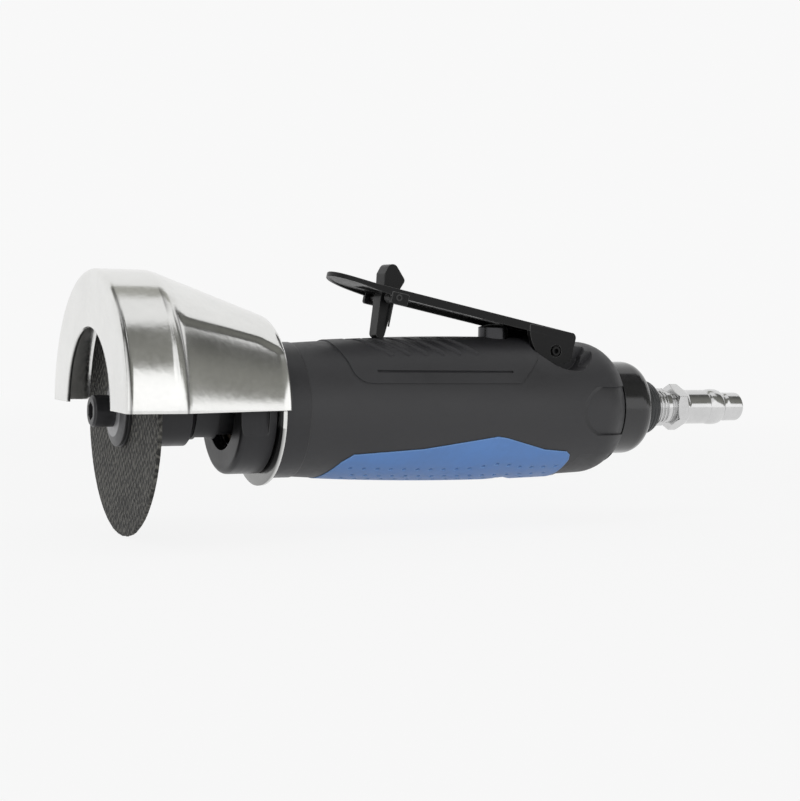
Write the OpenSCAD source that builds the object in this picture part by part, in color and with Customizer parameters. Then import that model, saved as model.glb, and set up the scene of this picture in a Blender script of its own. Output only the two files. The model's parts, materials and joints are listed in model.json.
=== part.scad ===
// Pneumatic cut-off tool: pressed disc guard, vane motor, moulded grip, lock-off throttle lever.
// Millimetres. X runs along the spindle: x = 0 is the rear face of the cutting disc, the disc
// screw points to -X and the air inlet to +X. Z points up, towards the throttle lever.

/* [Cutting disc] */
// Diameter of the cutting disc
disc_d = 75; // [65:0.5:80]
// Thickness of the cutting disc
disc_t = 1.5; // [1:0.1:2.5]
// Bore of the cutting disc
disc_bore_d = 10; // [9:0.1:11]
// Diameter of the inner and outer disc flanges
flange_d = 21.6; // [19:0.1:24]
// Thickness of the outer flange
flange_t = 3; // [2:0.1:4]
// Length of the inner flange behind the disc
hub_len = 19; // [16:0.1:21]
// Chamfer at the rear of the inner flange
hub_chamfer = 1.8; // [1:0.1:2.4]
// Thread diameter of the disc screw
screw_d = 6; // [5:0.1:7]
// Head diameter of the disc screw
screw_head_d = 9.5; // [8.5:0.1:11]
// Head height of the disc screw
screw_head_h = 6.5; // [5:0.1:7]
// Hex key size of the disc screw
screw_key = 5; // [4:0.1:5.5]

/* [Guard] */
// Sheet thickness of the guard
guard_t = 1.2; // [1:0.1:1.6]
// Gap between the disc edge and the guard
guard_gap = 3.5; // [2.5:0.1:6]
// Distance of the guard's front face ahead of the disc seat
guard_front = 12; // [10:0.1:14]
// Radius of the arch cut in the guard's front wall
guard_arch_r = 25; // [20:0.1:28]
// Outer corner radius between front wall and rim
guard_corner_r = 2; // [1.7:0.1:5]
// Distance behind the disc seat where the rim turns into the taper
guard_crease = 5; // [4:0.1:9]
// Radius of the guard at its rear plate
guard_rear_r = 29; // [26:0.1:32]
// Radius of the clamping plate below the axis
guard_plate_r = 23.5; // [21:0.1:25.5]
// Height of the guard's lower edge above the axis
guard_edge_z = 1.5; // [0:0.1:4]
// Depth of the pressed side panels
panel_depth = 0.8; // [0.4:0.05:0.9]
// Angle that each side panel spans above the horizontal
panel_angle = 58; // [45:1:65]

/* [Front cap and spindle] */
// Distance from the disc seat to the front of the cap
cap_reach = 29.6; // [27.5:0.1:34]
// Length of the front cap
cap_len = 11.4; // [10:0.1:14]
// Diameter of the front cap
cap_d = 39.4; // [38:0.1:42]
// Width across the two wrench flats of the cap
cap_flats = 37; // [36:0.1:38]
// Thickness of the cap's front wall
cap_front_t = 3; // [2:0.1:4]
// Hole in the cap's front wall
cap_hole_d = 24.6; // [20:0.1:25.4]
// Diameter of the spindle nose
nose_d = 17.8; // [15:0.1:20]
// Length of the spindle nose
nose_len = 7.5; // [6.5:0.1:9]
// Diameter of the spindle neck behind the nose
neck_d = 15; // [12:0.1:16]
// Depth of the screw thread in the spindle nose
nose_thread_len = 6.5; // [5:0.1:7.5]

/* [Motor] */
// Thread diameter of the housing nose
thread_d = 34; // [33:0.1:36]
// Bore of the housing for the motor cartridge
motor_bore_d = 30; // [29:0.1:31]
// Length of the front end plate
front_plate_len = 14; // [12:0.1:17]
// Length of the cylinder liner
liner_len = 43.4; // [36:0.1:50]
// Bore of the cylinder liner
liner_bore_d = 25; // [24:0.1:26]
// Offset of the liner bore from the spindle axis
liner_offset = 1; // [0.6:0.05:1.4]
// Length of the rear end plate
rear_plate_len = 9; // [8:0.1:11]
// Number of rotor vanes
vane_count = 4; // [3:1:6]
// Thickness of a vane
vane_t = 1.8; // [1.4:0.1:2.2]
// Depth of a vane in the rotor
vane_depth = 5; // [4:0.1:5.5]
// Running gap between the rotor and the tight side of the liner
rotor_gap = 0.2; // [0.1:0.05:0.4]
// Gap at each end of the rotor
rotor_end_gap = 0.25; // [0.1:0.05:0.5]

/* [Grip] */
// Length of the metal collar in front of the grip
collar_len = 8.7; // [6:0.1:12]
// Diameter of the metal collar
collar_d = 42.4; // [41:0.1:44]
// Length of the moulded grip
grip_len = 116.1; // [115:0.1:130]
// How far the front of the grip lies below the metal collar
grip_step = 0.3; // [0.1:0.05:0.6]
// How far the belly of the grip stands out from its front
grip_swell = 2.4; // [1.8:0.1:3.6]
// Distance from the front of the grip to its belly
grip_belly = 66; // [55:0.5:75]
// Length of the rounded rear end of the grip
dome_len = 11.5; // [10:0.1:12]
// Wall of the grip around the housing barrel, at its front
grip_wall = 2; // [1.7:0.1:2.9]
// Height of the raised saddle on the grip
saddle_h = 0.4; // [0.2:0.05:0.8]
// Drop of the saddle's lower edge below the top of the belly
saddle_drop = 14.1; // [12.8:0.1:17]
// Number of slanted grip grooves on each side
groove_count = 6; // [3:1:8]
// Distance between grip grooves
groove_pitch = 6; // [5:0.1:7]
// Radius of the tool that forms a grip groove
groove_r = 1.2; // [0.8:0.05:1.4]
// Thickness of the soft grip insert
insert_t = 2.2; // [1.6:0.1:2.6]
// How far the insert stands proud of the grip
insert_proud = 0.2; // [0.1:0.05:0.5]
// Distance from the front of the grip to the insert
insert_start = 8.5; // [6:0.1:10]
// Length of the insert
insert_len = 85.1; // [80:0.1:90]
// Height of the insert's upper edge at its front, above the bottom of the belly
insert_side_h = 10.3; // [7.3:0.1:11]
// Height of the insert's highest point above the bottom of the belly
insert_peak_h = 15.5; // [12.3:0.1:16]
// Depth of the finger notch across the insert
notch_depth = 1.5; // [0.8:0.1:1.6]

/* [Air inlet] */
// Radius of the rear collar
rear_collar_r = 15.8; // [14.8:0.1:17]
// Length of the rear collar
rear_collar_len = 12.7; // [10:0.1:15]
// Radius of the exhaust opening in the rear collar
exhaust_r = 11; // [10.8:0.1:12]
// Radius of the inlet bushing's flange
bushing_r = 10; // [9:0.1:10.2]
// How far the inlet bushing stands out of the rear collar
bushing_out = 6.9; // [5:0.1:8]
// Radius of the bushing's rounded end
bushing_end_r = 7.4; // [7.1:0.1:8.6]
// Thread diameter of the air nipple
nipple_thread_d = 13.16; // [12.5:0.02:13.6]
// Length of nipple thread left in view
nipple_thread_out = 8; // [4:0.1:10]
// Hexagon of the nipple, across flats
nipple_hex = 14; // [13:0.1:17]
// Length of the nipple's hexagon
nipple_hex_len = 4.2; // [4:0.1:9]
// Diameter of the nipple's stem
nipple_stem_d = 12; // [11:0.1:13]
// Length of the nipple's stem with its collar
nipple_stem_len = 19; // [15:0.1:26]
// Diameter of the nipple's tip
nipple_tip_d = 10; // [9:0.1:10.6]
// Length of the nipple's tip
nipple_tip_len = 6.5; // [6:0.1:10]
// Bore of the nipple
nipple_bore_d = 7; // [5:0.1:7.4]

/* [Throttle] */
// Distance from the front of the grip to the lever pivot
pivot_back = 91; // [86:0.1:96]
// Depth of the lever pivot below the top of the belly
pivot_sink = 3.9; // [2.3:0.1:4.5]
// Diameter of the lever pin
lever_pin_d = 3; // [2.5:0.1:3.5]
// Slope of the lever plate at rest, degrees
lever_slope = 11.4; // [11:0.1:13]
// Sheet thickness of the lever
lever_t = 2; // [1.5:0.1:2.2]
// Width of the lever
lever_w = 22; // [21:0.1:24]
// Distance from the pivot to the front tip of the lever
lever_front = 80.1; // [72:0.1:86]
// Distance from the pivot to the rear edge of the lever
lever_rear = 6.6; // [6:0.1:8]
// Distance from the pivot to the underside of the lever plate
lever_rise = 5.2; // [4.8:0.1:6]
// Radius of the lever's rear ears about the plate's top
ear_r = 11.4; // [11.2:0.1:12.2]
// Distance from the lever pivot to the valve plunger
valve_ahead = 17.7; // [16:0.1:20]
// Diameter of the plunger's button
button_d = 10; // [8:0.1:10.8]
// Radius of the rounded top of the button
button_dome_r = 12; // [10:0.5:16]
// Bore of the housing for the valve
valve_bore_d = 12; // [11.6:0.1:13]
// Diameter of the plunger's stem
stem_d = 4.2; // [3.5:0.1:4.6]

/* [Lock catch] */
// Distance from the lever pivot to the catch pin, along the lever
catch_ahead = 59.9; // [55:0.1:64]
// Drop of the catch pin below the lever plate
catch_drop = 0.7; // [0.6:0.05:1.2]
// Diameter of the catch pin
catch_pin_d = 2.2; // [2:0.1:2.8]
// Width of the catch leg
catch_w = 5.2; // [4.5:0.1:5.8]
// Width of the catch's thumb lobe
lobe_w = 6.2; // [5.8:0.1:7]
// Height of the thumb lobe above the catch pin
lobe_top = 10.9; // [9.5:0.1:12]
// Reach of the thumb lobe ahead of the catch pin
lobe_front = 2.9; // [2.4:0.1:3.4]
// Reach of the thumb lobe behind the catch pin
lobe_back = 4.5; // [3.8:0.1:4.8]
// Thickness of the catch's foot
foot_t = 3.1; // [2.4:0.1:3.3]
// Depth to which the foot stands in the grip's recess
foot_sink = 0.3; // [0.1:0.05:0.5]
// Depth of the recess under the foot
recess_depth = 2.1; // [1.9:0.05:2.4]

/* [Clearances] */
// Axial play of the guard between cap and collar
guard_play = 0.1; // [0.05:0.01:0.3]
// Radial running clearance of shafts and pins
run_c = 0.05; // [0.02:0.01:0.1]
// Radial gap of fixed pieces in their seats
seat_c = 0.05; // [0.02:0.01:0.1]
// Free gap between moving pieces
free_c = 0.4; // [0.3:0.05:0.6]

/* [Hidden] */
$fn = 96;
disc_r = disc_d / 2;
x_flange = -disc_t - flange_t;
pilot_r = disc_bore_d / 2 - seat_c;
pilot_len = disc_t - 0.3;
screw_r = screw_d / 2;
x_nose_end = hub_len + nose_len;
x_cap_seat = cap_reach + cap_front_t;
x_plate = cap_reach + cap_len + guard_play;
x_collar = x_plate + guard_t + guard_play;
x_grip = x_collar + collar_len;
x_belly = x_grip + grip_belly;
x_grip_end = x_grip + grip_len;
x_dome = x_grip_end - dome_len;
// Screw end and rotor stub meet in the spindle with a thin wall of air between them
x_screw_end = hub_len + nose_thread_len - 0.5;
x_stub = hub_len + nose_thread_len + 0.5;
stub_r = 5;
// Guard
guard_r = disc_r + guard_gap + guard_t;
guard_x = -guard_front;
x_plate_rear = x_plate + guard_t;
taper_a = atan((guard_r - guard_rear_r) / (x_plate_rear - guard_crease));
guard_hole_r = thread_d / 2 + run_c;
panel_front = guard_x + guard_corner_r;
panel_rear = guard_crease - 1.7;
panel_ramp = 0.9;
// Motor
motor_r = motor_bore_d / 2;
x_liner = x_cap_seat + front_plate_len;
x_liner_end = x_liner + liner_len;
x_motor_end = x_liner_end + rear_plate_len;
rotor_r = liner_bore_d / 2 - liner_offset - rotor_gap;
plate_shaft_gap = 0.3;
dowel_r = 0.9;
dowel_len = 6;
dowel_z = (motor_r - seat_c + liner_bore_d / 2 - liner_offset) / 2;
// Ball bearings of the standard rows 6000 and 626, each as [bore radius, outside radius, width,
// radius of the ball circle, ball radius, number of balls]
front_bore_r = 5;
front_outer_r = 13;
front_bearing_w = 8;
front_circle_r = 9;
front_ball_r = 2.38;
rear_bore_r = 3;
rear_outer_r = 9.5;
rear_bearing_w = 6;
rear_circle_r = 6.25;
rear_ball_r = 1.75;
ball_count = 7;
front_bearing = [front_bore_r, front_outer_r, front_bearing_w, front_circle_r, front_ball_r, ball_count];
rear_bearing = [rear_bore_r, rear_outer_r, rear_bearing_w, rear_circle_r, rear_ball_r, ball_count];
race_c = 0.1;
x_front_bearing = x_cap_seat;
x_rear_bearing = x_motor_end - rear_bearing[2];
// Grip and housing
grip_r_front = collar_d / 2 - grip_step;
grip_r_belly = grip_r_front + grip_swell;
barrel_r = grip_r_front - grip_wall;
grip_bore_r = barrel_r + seat_c;
tail_r = rear_collar_r - 1.8;
x_tail = x_dome - 0.5;
x_tail_end = x_grip_end + rear_collar_len * 0.3;
grip_bend = grip_swell / (grip_belly * grip_belly);
// The rounded rear end meets the rear collar a little below its edge
dome_drop = grip_r(x_dome) - rear_collar_r + 0.02;
dome_r = (dome_len * dome_len + dome_drop * dome_drop) / (2 * dome_drop);
insert_side_z = insert_side_h - grip_r_belly;
insert_peak_z = insert_peak_h - grip_r_belly;
x_insert = x_grip + insert_start;
x_insert_end = x_insert + insert_len;
x_notch = x_insert + 0.781 * insert_len;
saddle_z = grip_r_belly - saddle_drop;
saddle_start = 12.2;
saddle_corner = 6;
saddle_rear = [9, 8];
groove_start = 25;
groove_lean = 24;
groove_slant = 34;
groove_len = 16;
line_start = 22.7;
line_end = 70;
line_rise = 3.2;
line_w = 0.7;
line_depth = 0.1;
label_ahead = 9.7;
label_behind = 12.6;
label_r = 17;
label_half = 8;
label_depth = 0.8;
label_ease = 2.2;
relief_depth = 0.5;
relief_ahead = 9;
relief_behind = 9;
relief_z = -14.6;
// Finger notch: reach ahead of and behind its lowest line
notch_ahead = 8;
notch_behind = 5;
// Throttle
x_pivot = x_grip + pivot_back;
pivot_z = grip_r_belly - pivot_sink;
x_valve = x_pivot - valve_ahead;
lever_pin_r = lever_pin_d / 2;
ear_t = lever_t;
ear_in = lever_w / 2 - ear_t;
lug_w = ear_in - free_c;
lug_r = lever_rise - free_c;
plate_top = lever_rise + lever_t;
// Ear pocket: room about the ear's arc, and a round hollow behind the ear
pocket_r = ear_r + 2 * free_c;
pocket_c = [x_pivot + plate_top * sin(0.7 * lever_slope), pivot_z + plate_top];
hollow_r = 5;
hollow_c = [x_pivot + lever_rear - 2.2, pivot_z - 1.5];
valve_bore_r = valve_bore_d / 2;
button_r = button_d / 2;
stem_r = stem_d / 2;
button_gap = 0.1;
button_h = 6.8;
// The dome's centre keeps button_gap to the sloped underside of the lever plate
button_c_z = pivot_z + (lever_rise + valve_ahead * sin(lever_slope) - button_dome_r - button_gap)
    / cos(lever_slope);
button_top = button_c_z + button_dome_r;
z_button = button_top - button_h;
z_bush_top = barrel_r - 1.6;
z_seat = 3;
plug_h = 3.4;
plug_r = 4.6;
seal_r = 0.55;
seal_ring_r = 3.9;
z_plug = z_seat - 2 * seal_r - 0.1;
z_valve_floor = -9;
inlet_z = -4;
inlet_r = 4;
feed_z = 6;
feed_r = 2.4;
port_z = 11;
port_r = 1.4;
chamber_r = 3.4;
chamber_top = feed_z + feed_r + 0.6;
// Air inlet
x_collar_end = x_grip_end + rear_collar_len;
collar_lip = 4;
x_bushing_end = x_collar_end + bushing_out;
bushing_thread_r = 8;
x_bushing = x_tail + 3;
x_bushing_flange = x_tail_end + 0.2;
nipple_r = nipple_thread_d / 2;
nipple_in = 11;
x_nipple = x_bushing_end - nipple_in;
x_hex = x_bushing_end + nipple_thread_out;
x_stem = x_hex + nipple_hex_len;
x_tip = x_stem + nipple_stem_len;
x_end = x_tip + nipple_tip_len;
washer_t = 1;
// Lock catch, in the lever's own frame: origin at the pivot, x along the plate, z square to it
catch_z = lever_rise - catch_drop;
catch_pin_r = catch_pin_d / 2;
x_catch = x_pivot - catch_ahead * cos(lever_slope) + catch_z * sin(lever_slope);
z_catch = pivot_z + catch_ahead * sin(lever_slope) + catch_z * cos(lever_slope);
x_foot = x_catch - (z_catch - grip_r(x_catch)) * tan(lever_slope);
recess_ahead = 12;
recess_behind = 3;
foot_len = (z_catch - grip_r(x_foot) - saddle_h + foot_sink) / cos(lever_slope);
catch_hub_r = 2.5;
slot_w = lobe_w + 2 * free_c;
slot_front = foot_t + catch_hub_r + 4;
slot_rear = lobe_top + 2;
lobe_low = lever_t + catch_drop - 0.4;
lobe_edge_r = 1.3;
lobe_crown_r = 2;
lobe_bulge = 6.4;
catch_ear_front = 2.4;
catch_ear_rear = 3.4;
catch_ear_h = 2.9;
catch_ear_t = lever_t;
// Springs: wire radius, coil radius, turns, pitch
catch_wire_r = 0.28;
catch_coil_r = catch_pin_r + 0.3 + catch_wire_r;
catch_turns = 4;
catch_pitch = 1;
window_r = catch_coil_r + catch_wire_r + free_c;
window_w = catch_turns * catch_pitch + 2 * catch_wire_r + 2 * free_c;
valve_wire_r = 0.4;
valve_coil_r = 3.4;
valve_turns = 4;
valve_spring_len = z_plug - plug_h - z_valve_floor - 0.1;
valve_pitch = (valve_spring_len - 2 * valve_wire_r) / valve_turns;

// Radius of the grip's base surface at x
function grip_r(x) = grip_r_belly - grip_bend * (x - x_belly) * (x - x_belly);

// Points of an arc about [cx, cy], as [x, y]
function arc(cx, cy, r, a0, a1, n) =
    [for (i = [0 : n]) let (a = a0 + (a1 - a0) * i / n) [cx + r * cos(a), cy + r * sin(a)]];

// Swaps [x, radius] points to the [radius, x] order that a revolve needs
function flip(points) = [for (p = points) [p[1], p[0]]];

// Turns a closed outline of [x, radius] points about the spindle axis
module turned(points) {
    rotate([0, 90, 0]) rotate_extrude() polygon(flip(points));
}

// Round bar along the spindle axis
module rod(x0, x1, r) {
    translate([x0, 0, 0]) rotate([0, 90, 0]) cylinder(h = x1 - x0, r = r);
}

// Tube along the spindle axis
module tube(x0, x1, outer_r, inner_r) {
    difference() {
        rod(x0, x1, outer_r);
        rod(x0 - 1, x1 + 1, inner_r);
    }
}

// Round bar across the tool, centred on y
module cross_rod(x, z, r, half_len) {
    translate([x, 0, z]) rotate([90, 0, 0]) cylinder(h = 2 * half_len, r = r, center = true);
}

// Plate with an [x, z] outline, extruded across the tool from y0 to y1
module side_plate(points, y0, y1) {
    translate([0, y1, 0]) rotate([90, 0, 0]) linear_extrude(height = y1 - y0) polygon(points);
}

// Everything in the lever's own frame
module lever_frame() {
    translate([x_pivot, 0, pivot_z]) rotate([0, lever_slope, 0]) children();
}

// Solid of the grip's outer form, grown by d
module grip_form(d) {
    steps = 16;
    side = [for (i = [0 : steps]) let (x = x_grip + (x_dome - x_grip) * i / steps) [x, grip_r(x) + d]];
    dome = arc(x_dome, grip_r(x_dome) - dome_r + d, dome_r, 90, acos(dome_len / dome_r), 10);
    last = dome[len(dome) - 1];
    turned(concat([[x_grip, 0]], side, [for (i = [1 : 10]) dome[i]], [[last[0], 0]]));
}

// Skin of the grip between two depths, cut to an [x, z] outline on one or both sides
module grip_skin(depth, proud, points, y0, y1) {
    intersection() {
        difference() {
            grip_form(proud);
            grip_form(-depth);
        }
        side_plate(points, y0, y1);
    }
}

// Tube swept along points with rings square to the path; up is never along the path
function unit(v) = v / norm(v);
function ring(p, t, up, r, sides) =
    let (u = unit(up - (up * t) * t), v = cross(t, u))
    [for (i = [0 : sides - 1]) p + r * (cos(360 * i / sides) * u + sin(360 * i / sides) * v)];
module swept(path, r, up, sides = 6) {
    n = len(path);
    rings = [for (i = [0 : n - 1])
        ring(path[i], unit(path[min(i + 1, n - 1)] - path[max(i - 1, 0)]), up, r, sides)];
    sides_faces = [for (i = [0 : n - 2], j = [0 : sides - 1]) let (k = (j + 1) % sides)
        each [[i * sides + j, (i + 1) * sides + j, i * sides + k],
              [i * sides + k, (i + 1) * sides + j, (i + 1) * sides + k]]];
    first = [for (j = [1 : sides - 2]) [0, j, j + 1]];
    base = (n - 1) * sides;
    last = [for (j = [1 : sides - 2]) [base, base + j + 1, base + j]];
    polyhedron(points = [for (s = rings) each s], faces = concat(sides_faces, first, last));
}

// Least gap between points of a coil that lie about a turn apart
function coil_gap(path, per_turn, wire_r) =
    min([for (i = [0 : len(path) - 1 - per_turn], j = [-2 : 2])
        let (k = min(len(path) - 1, i + per_turn + j)) norm(path[k] - path[i])]) - 2 * wire_r;

module bearing_outer(b, x0) {
    difference() {
        tube(x0, x0 + b[2], b[1] - seat_c, b[3] + 0.72 * b[4]);
        bearing_track(b, x0);
    }
}

module bearing_inner(b, x0) {
    difference() {
        tube(x0, x0 + b[2], b[3] - 0.72 * b[4], b[0] + seat_c);
        bearing_track(b, x0);
    }
}

// Ring groove in which the balls run
module bearing_track(b, x0) {
    translate([x0 + b[2] / 2, 0, 0]) rotate([0, 90, 0])
        rotate_extrude() translate([b[3], 0]) circle(r = b[4] + race_c);
}

module bearing_balls(b, x0, grow) {
    for (i = [0 : b[5] - 1])
        rotate([360 * i / b[5], 0, 0]) translate([x0 + b[2] / 2, 0, b[3]]) sphere(r = b[4] + grow);
}

module bearing_cage(b, x0) {
    half = b[4] + 0.6;
    difference() {
        tube(x0 + b[2] / 2 - half, x0 + b[2] / 2 + half, b[3] + 0.35 * b[4], b[3] - 0.35 * b[4]);
        bearing_balls(b, x0, race_c);
    }
}

// Housing: threaded nose, collar, barrel with motor bore, valve bore and lever lug, tail
module motor_housing() {
    color("dimgray") difference() {
        union() {
            rod(x_cap_seat + 0.3, x_collar, thread_d / 2);
            rod(x_collar, x_grip, collar_d / 2);
            rod(x_grip, x_tail, barrel_r);
            rod(x_tail, x_tail_end, tail_r - seat_c);
            lever_lug();
        }
        rod(x_cap_seat, x_motor_end, motor_r);
        rod(x_motor_end - 1, x_motor_end + 3, rear_bearing[0] + 1);
        translate([x_valve, 0, z_valve_floor]) cylinder(h = 2 * barrel_r, r = valve_bore_r);
        translate([0, 0, feed_z]) rod(x_motor_end - 1, x_valve, feed_r);
        translate([0, 0, inlet_z]) rod(x_valve, x_bushing + 1, inlet_r);
        rod(x_bushing, x_tail_end + 1, bushing_thread_r + seat_c);
        cross_rod(x_pivot, pivot_z, lever_pin_r + seat_c, lug_w + 1);
        ear_pockets();
    }
}

// Lug that stands out of the barrel between the lever's ears
module lever_lug() {
    cross_rod(x_pivot, pivot_z, lug_r, lug_w);
    translate([x_pivot - lug_r, -lug_w, barrel_r / 2])
        cube([2 * lug_r, 2 * lug_w, pivot_z - barrel_r / 2]);
}

// Side outline of the raised saddle
function saddle_points() = let (x0 = x_grip + saddle_start, x1 = x_valve - 1, top = 2 * grip_r_belly) concat(
    [[x1 + saddle_rear[0], top], [x0, top], [x0, grip_r_front]],
    arc(x0 + saddle_corner + 2, saddle_z + saddle_corner, saddle_corner, 180, 270, 6),
    [[x1, saddle_z], [x1 + saddle_rear[0], saddle_z + saddle_rear[1]]]);

// Side outline of the insert, grown by c
function insert_points(c) = let (deep = -2 * grip_r_belly, x0 = x_insert - c, x1 = x_insert_end + c) [
    [x0 - 6, deep], [x0, -grip_r_front + c], [x0 + 4, insert_side_z - 2.4 + c],
    [x0 + 7.2, insert_side_z + c], [x0 + 30, insert_side_z + 1.5 + c],
    [x0 + 0.62 * insert_len, insert_peak_z - 0.4 + c], [x0 + 0.651 * insert_len, insert_peak_z + c],
    [x0 + 0.69 * insert_len, insert_peak_z - 0.5 + c], [x1 - 11, insert_peak_z - 4.6 + c],
    [x1 - 2.4, insert_peak_z - 5.4 + c], [x1 - 0.6, insert_peak_z - 6.6 + c],
    [x1, insert_peak_z - 8.4], [x1 - 5, deep]];

// Slanted grooves on both shoulders of the grip, cut by straight rods that run out of the surface
module grip_grooves() {
    for (side = [-1, 1], i = [0 : groove_count - 1]) {
        x = x_grip + groove_start + groove_pitch * i;
        rotate([-side * groove_lean, 0, 0]) translate([x, 0, grip_r(x) + saddle_h])
            rotate([90, 0, -side * groove_slant]) cylinder(h = groove_len, r = groove_r, center = true);
    }
}

// Moulded grip with its saddle, grooves, insert pocket, throttle openings and label recess
module grip_sleeve() {
    wide = 2 * grip_r_belly;
    color([0.19, 0.19, 0.2]) difference() {
        union() {
            grip_form(0);
            intersection() {
                grip_form(saddle_h);
                side_plate(saddle_points(), -wide, wide);
            }
        }
        rod(x_grip - 1, x_tail + seat_c, grip_bore_r);
        rod(x_tail - 1, x_grip_end + 1, tail_r + seat_c);
        grip_skin(insert_t + seat_c, 1, insert_points(seat_c), -wide, wide);
        grip_grooves();
        // Fine line above the saddle's edge
        grip_skin(line_depth, 1, line_points(), -wide, wide);
        // Plain recessed label field and relief under it
        label_field();
        grip_skin(relief_depth, 1, relief_points(), -wide, wide);
        throttle_cuts();
    }
}

function line_points() = let (x0 = x_grip + line_start, x1 = x_grip + line_end, z0 = saddle_z + line_rise) [
    [x0, z0], [x1, z0], [x1, z0 + line_w], [x0, z0 + line_w]];

// The label field is round ahead, with its corners where the arc meets its half height
function label_points() = let (a = asin(label_half / label_r), x1 = x_dome + label_behind) concat(
    arc(x_dome - label_ahead + label_r, 0, label_r, 180 + a, 180 - a, 6), [[x1, label_half], [x1, -label_half]]);

// The field's round front is eased into the grip by a cone
module label_field() {
    wide = 2 * grip_r_belly;
    t = grip_r(x_dome - label_ahead);
    difference() {
        grip_skin(label_depth, 1, label_points(), -wide, 0);
        translate([x_dome - label_ahead + label_r, 0, 0]) rotate([90, 0, 0]) difference() {
            translate([0, 0, t - 4]) cylinder(h = 6, r = 2 * label_r);
            translate([0, 0, t - 4.01])
                cylinder(h = 6.02, r1 = label_r - 4.01 * label_ease, r2 = label_r + 2.01 * label_ease);
        }
    }
}

function relief_points() = let (x0 = x_dome - relief_ahead, x1 = x_dome + relief_behind, deep = -2 * grip_r_belly) [
    [x0 - 1.5, relief_z - 6], [x0 + 2, relief_z], [x1, relief_z], [x1, deep], [x0 - 1.5, deep]];

// Openings of the grip for button, lug, lever ears and catch foot
module throttle_cuts() {
    translate([x_valve, 0, 0]) cylinder(h = 2 * grip_r_belly, r = button_r + free_c);
    translate([x_pivot - lug_r - free_c, -ear_in, 0])
        cube([2 * (lug_r + free_c), 2 * ear_in, 2 * grip_r_belly]);
    ear_pockets();
    translate([x_foot - recess_ahead, -catch_w / 2 - free_c, grip_r(x_foot) + saddle_h - recess_depth])
        cube([recess_ahead + recess_behind, catch_w + 2 * free_c, 2 * recess_depth]);
}

// Round pockets beside the lug in which the lever's ears swing
module ear_pockets() {
    for (side = [-1, 1], round = [[pocket_c, pocket_r], [hollow_c, hollow_r]])
        translate([round[0][0], side * (lug_w + grip_r_belly), round[0][1]]) rotate([90, 0, 0])
            cylinder(h = 2 * grip_r_belly, r = round[1], center = true);
}

// Soft insert under the fingers, with a notch across it
module grip_insert() {
    wide = 2 * grip_r_belly;
    z0 = -grip_r_belly - insert_proud;
    color([0.33, 0.49, 0.72]) difference() {
        grip_skin(insert_t, insert_proud, insert_points(0), -wide, wide);
        side_plate([[x_notch - notch_ahead / 2, -wide], [x_notch - notch_ahead, z0],
            [x_notch, z0 + notch_depth], [x_notch + notch_behind, z0],
            [x_notch + notch_behind / 2, -wide]], -wide, wide);
    }
}

// Clamp nut that holds the motor cartridge and the guard's plate
module front_cap() {
    edge = 1.6;
    r = cap_d / 2;
    color([0.13, 0.13, 0.14]) difference() {
        turned(concat([[cap_reach, 0]], arc(cap_reach + edge, r - edge, edge, 180, 90, 5),
            [[cap_reach + cap_len - 0.6, r], [cap_reach + cap_len, r - 0.6], [cap_reach + cap_len, 0]]));
        rod(cap_reach - 1, x_cap_seat + 1, cap_hole_d / 2);
        rod(x_cap_seat, x_plate + 1, thread_d / 2 + seat_c);
        for (side = [-1, 1])
            translate([cap_reach - 1, side * (cap_flats / 2 + r) - r, -r])
                cube([0.75 * cap_len + 1, 2 * r, 2 * r]);
    }
}

module front_end_plate() {
    color("slategray") difference() {
        rod(x_cap_seat, x_liner, motor_r - seat_c);
        rod(x_cap_seat - 1, x_front_bearing + front_bearing[2], front_bearing[1]);
        rod(x_cap_seat, x_liner + 1, stub_r + plate_shaft_gap);
        dowel_hole();
    }
}

// Hole for the dowel that lines the end plate up with the liner
module dowel_hole() {
    translate([0, 0, -dowel_z]) rod(x_liner - dowel_len / 2, x_liner + dowel_len / 2, dowel_r + seat_c);
}

module cylinder_liner() {
    slots = 5;
    color("gray") difference() {
        rod(x_liner, x_liner_end, motor_r - seat_c);
        translate([0, 0, liner_offset]) rod(x_liner - 1, x_liner_end + 1, liner_bore_d / 2);
        dowel_hole();
        // Exhaust ports along one side
        for (i = [1 : slots])
            translate([x_liner + liner_len * i / (slots + 1), 0, 0]) rotate([-70, 0, 0])
                cylinder(h = 2 * motor_r, r = 1.6);
    }
}

module liner_dowel() {
    color("silver") translate([0, 0, -dowel_z])
        rod(x_liner - dowel_len / 2 + seat_c, x_liner + dowel_len / 2 - seat_c, dowel_r);
}

module rear_end_plate() {
    color("slategray") difference() {
        rod(x_liner_end, x_motor_end, motor_r - seat_c);
        rod(x_rear_bearing, x_motor_end + 1, rear_bearing[1]);
        rod(x_liner_end - 1, x_motor_end, rear_bearing[0] + plate_shaft_gap);
        translate([0, 0, port_z]) rod(x_liner_end - 1, x_motor_end + 1, port_r);
    }
}

module front_bearing_outer() {
    color("silver") bearing_outer(front_bearing, x_front_bearing);
}

module rear_bearing_outer() {
    color("silver") bearing_outer(rear_bearing, x_rear_bearing);
}

module front_bearing_inner() {
    color("silver") bearing_inner(front_bearing, x_front_bearing);
}

module rear_bearing_inner() {
    color("silver") bearing_inner(rear_bearing, x_rear_bearing);
}

module front_bearing_balls() {
    color("white") bearing_balls(front_bearing, x_front_bearing, 0);
}

module rear_bearing_balls() {
    color("white") bearing_balls(rear_bearing, x_rear_bearing, 0);
}

module front_bearing_cage() {
    color("goldenrod") bearing_cage(front_bearing, x_front_bearing);
}

module rear_bearing_cage() {
    color("goldenrod") bearing_cage(rear_bearing, x_rear_bearing);
}

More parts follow.
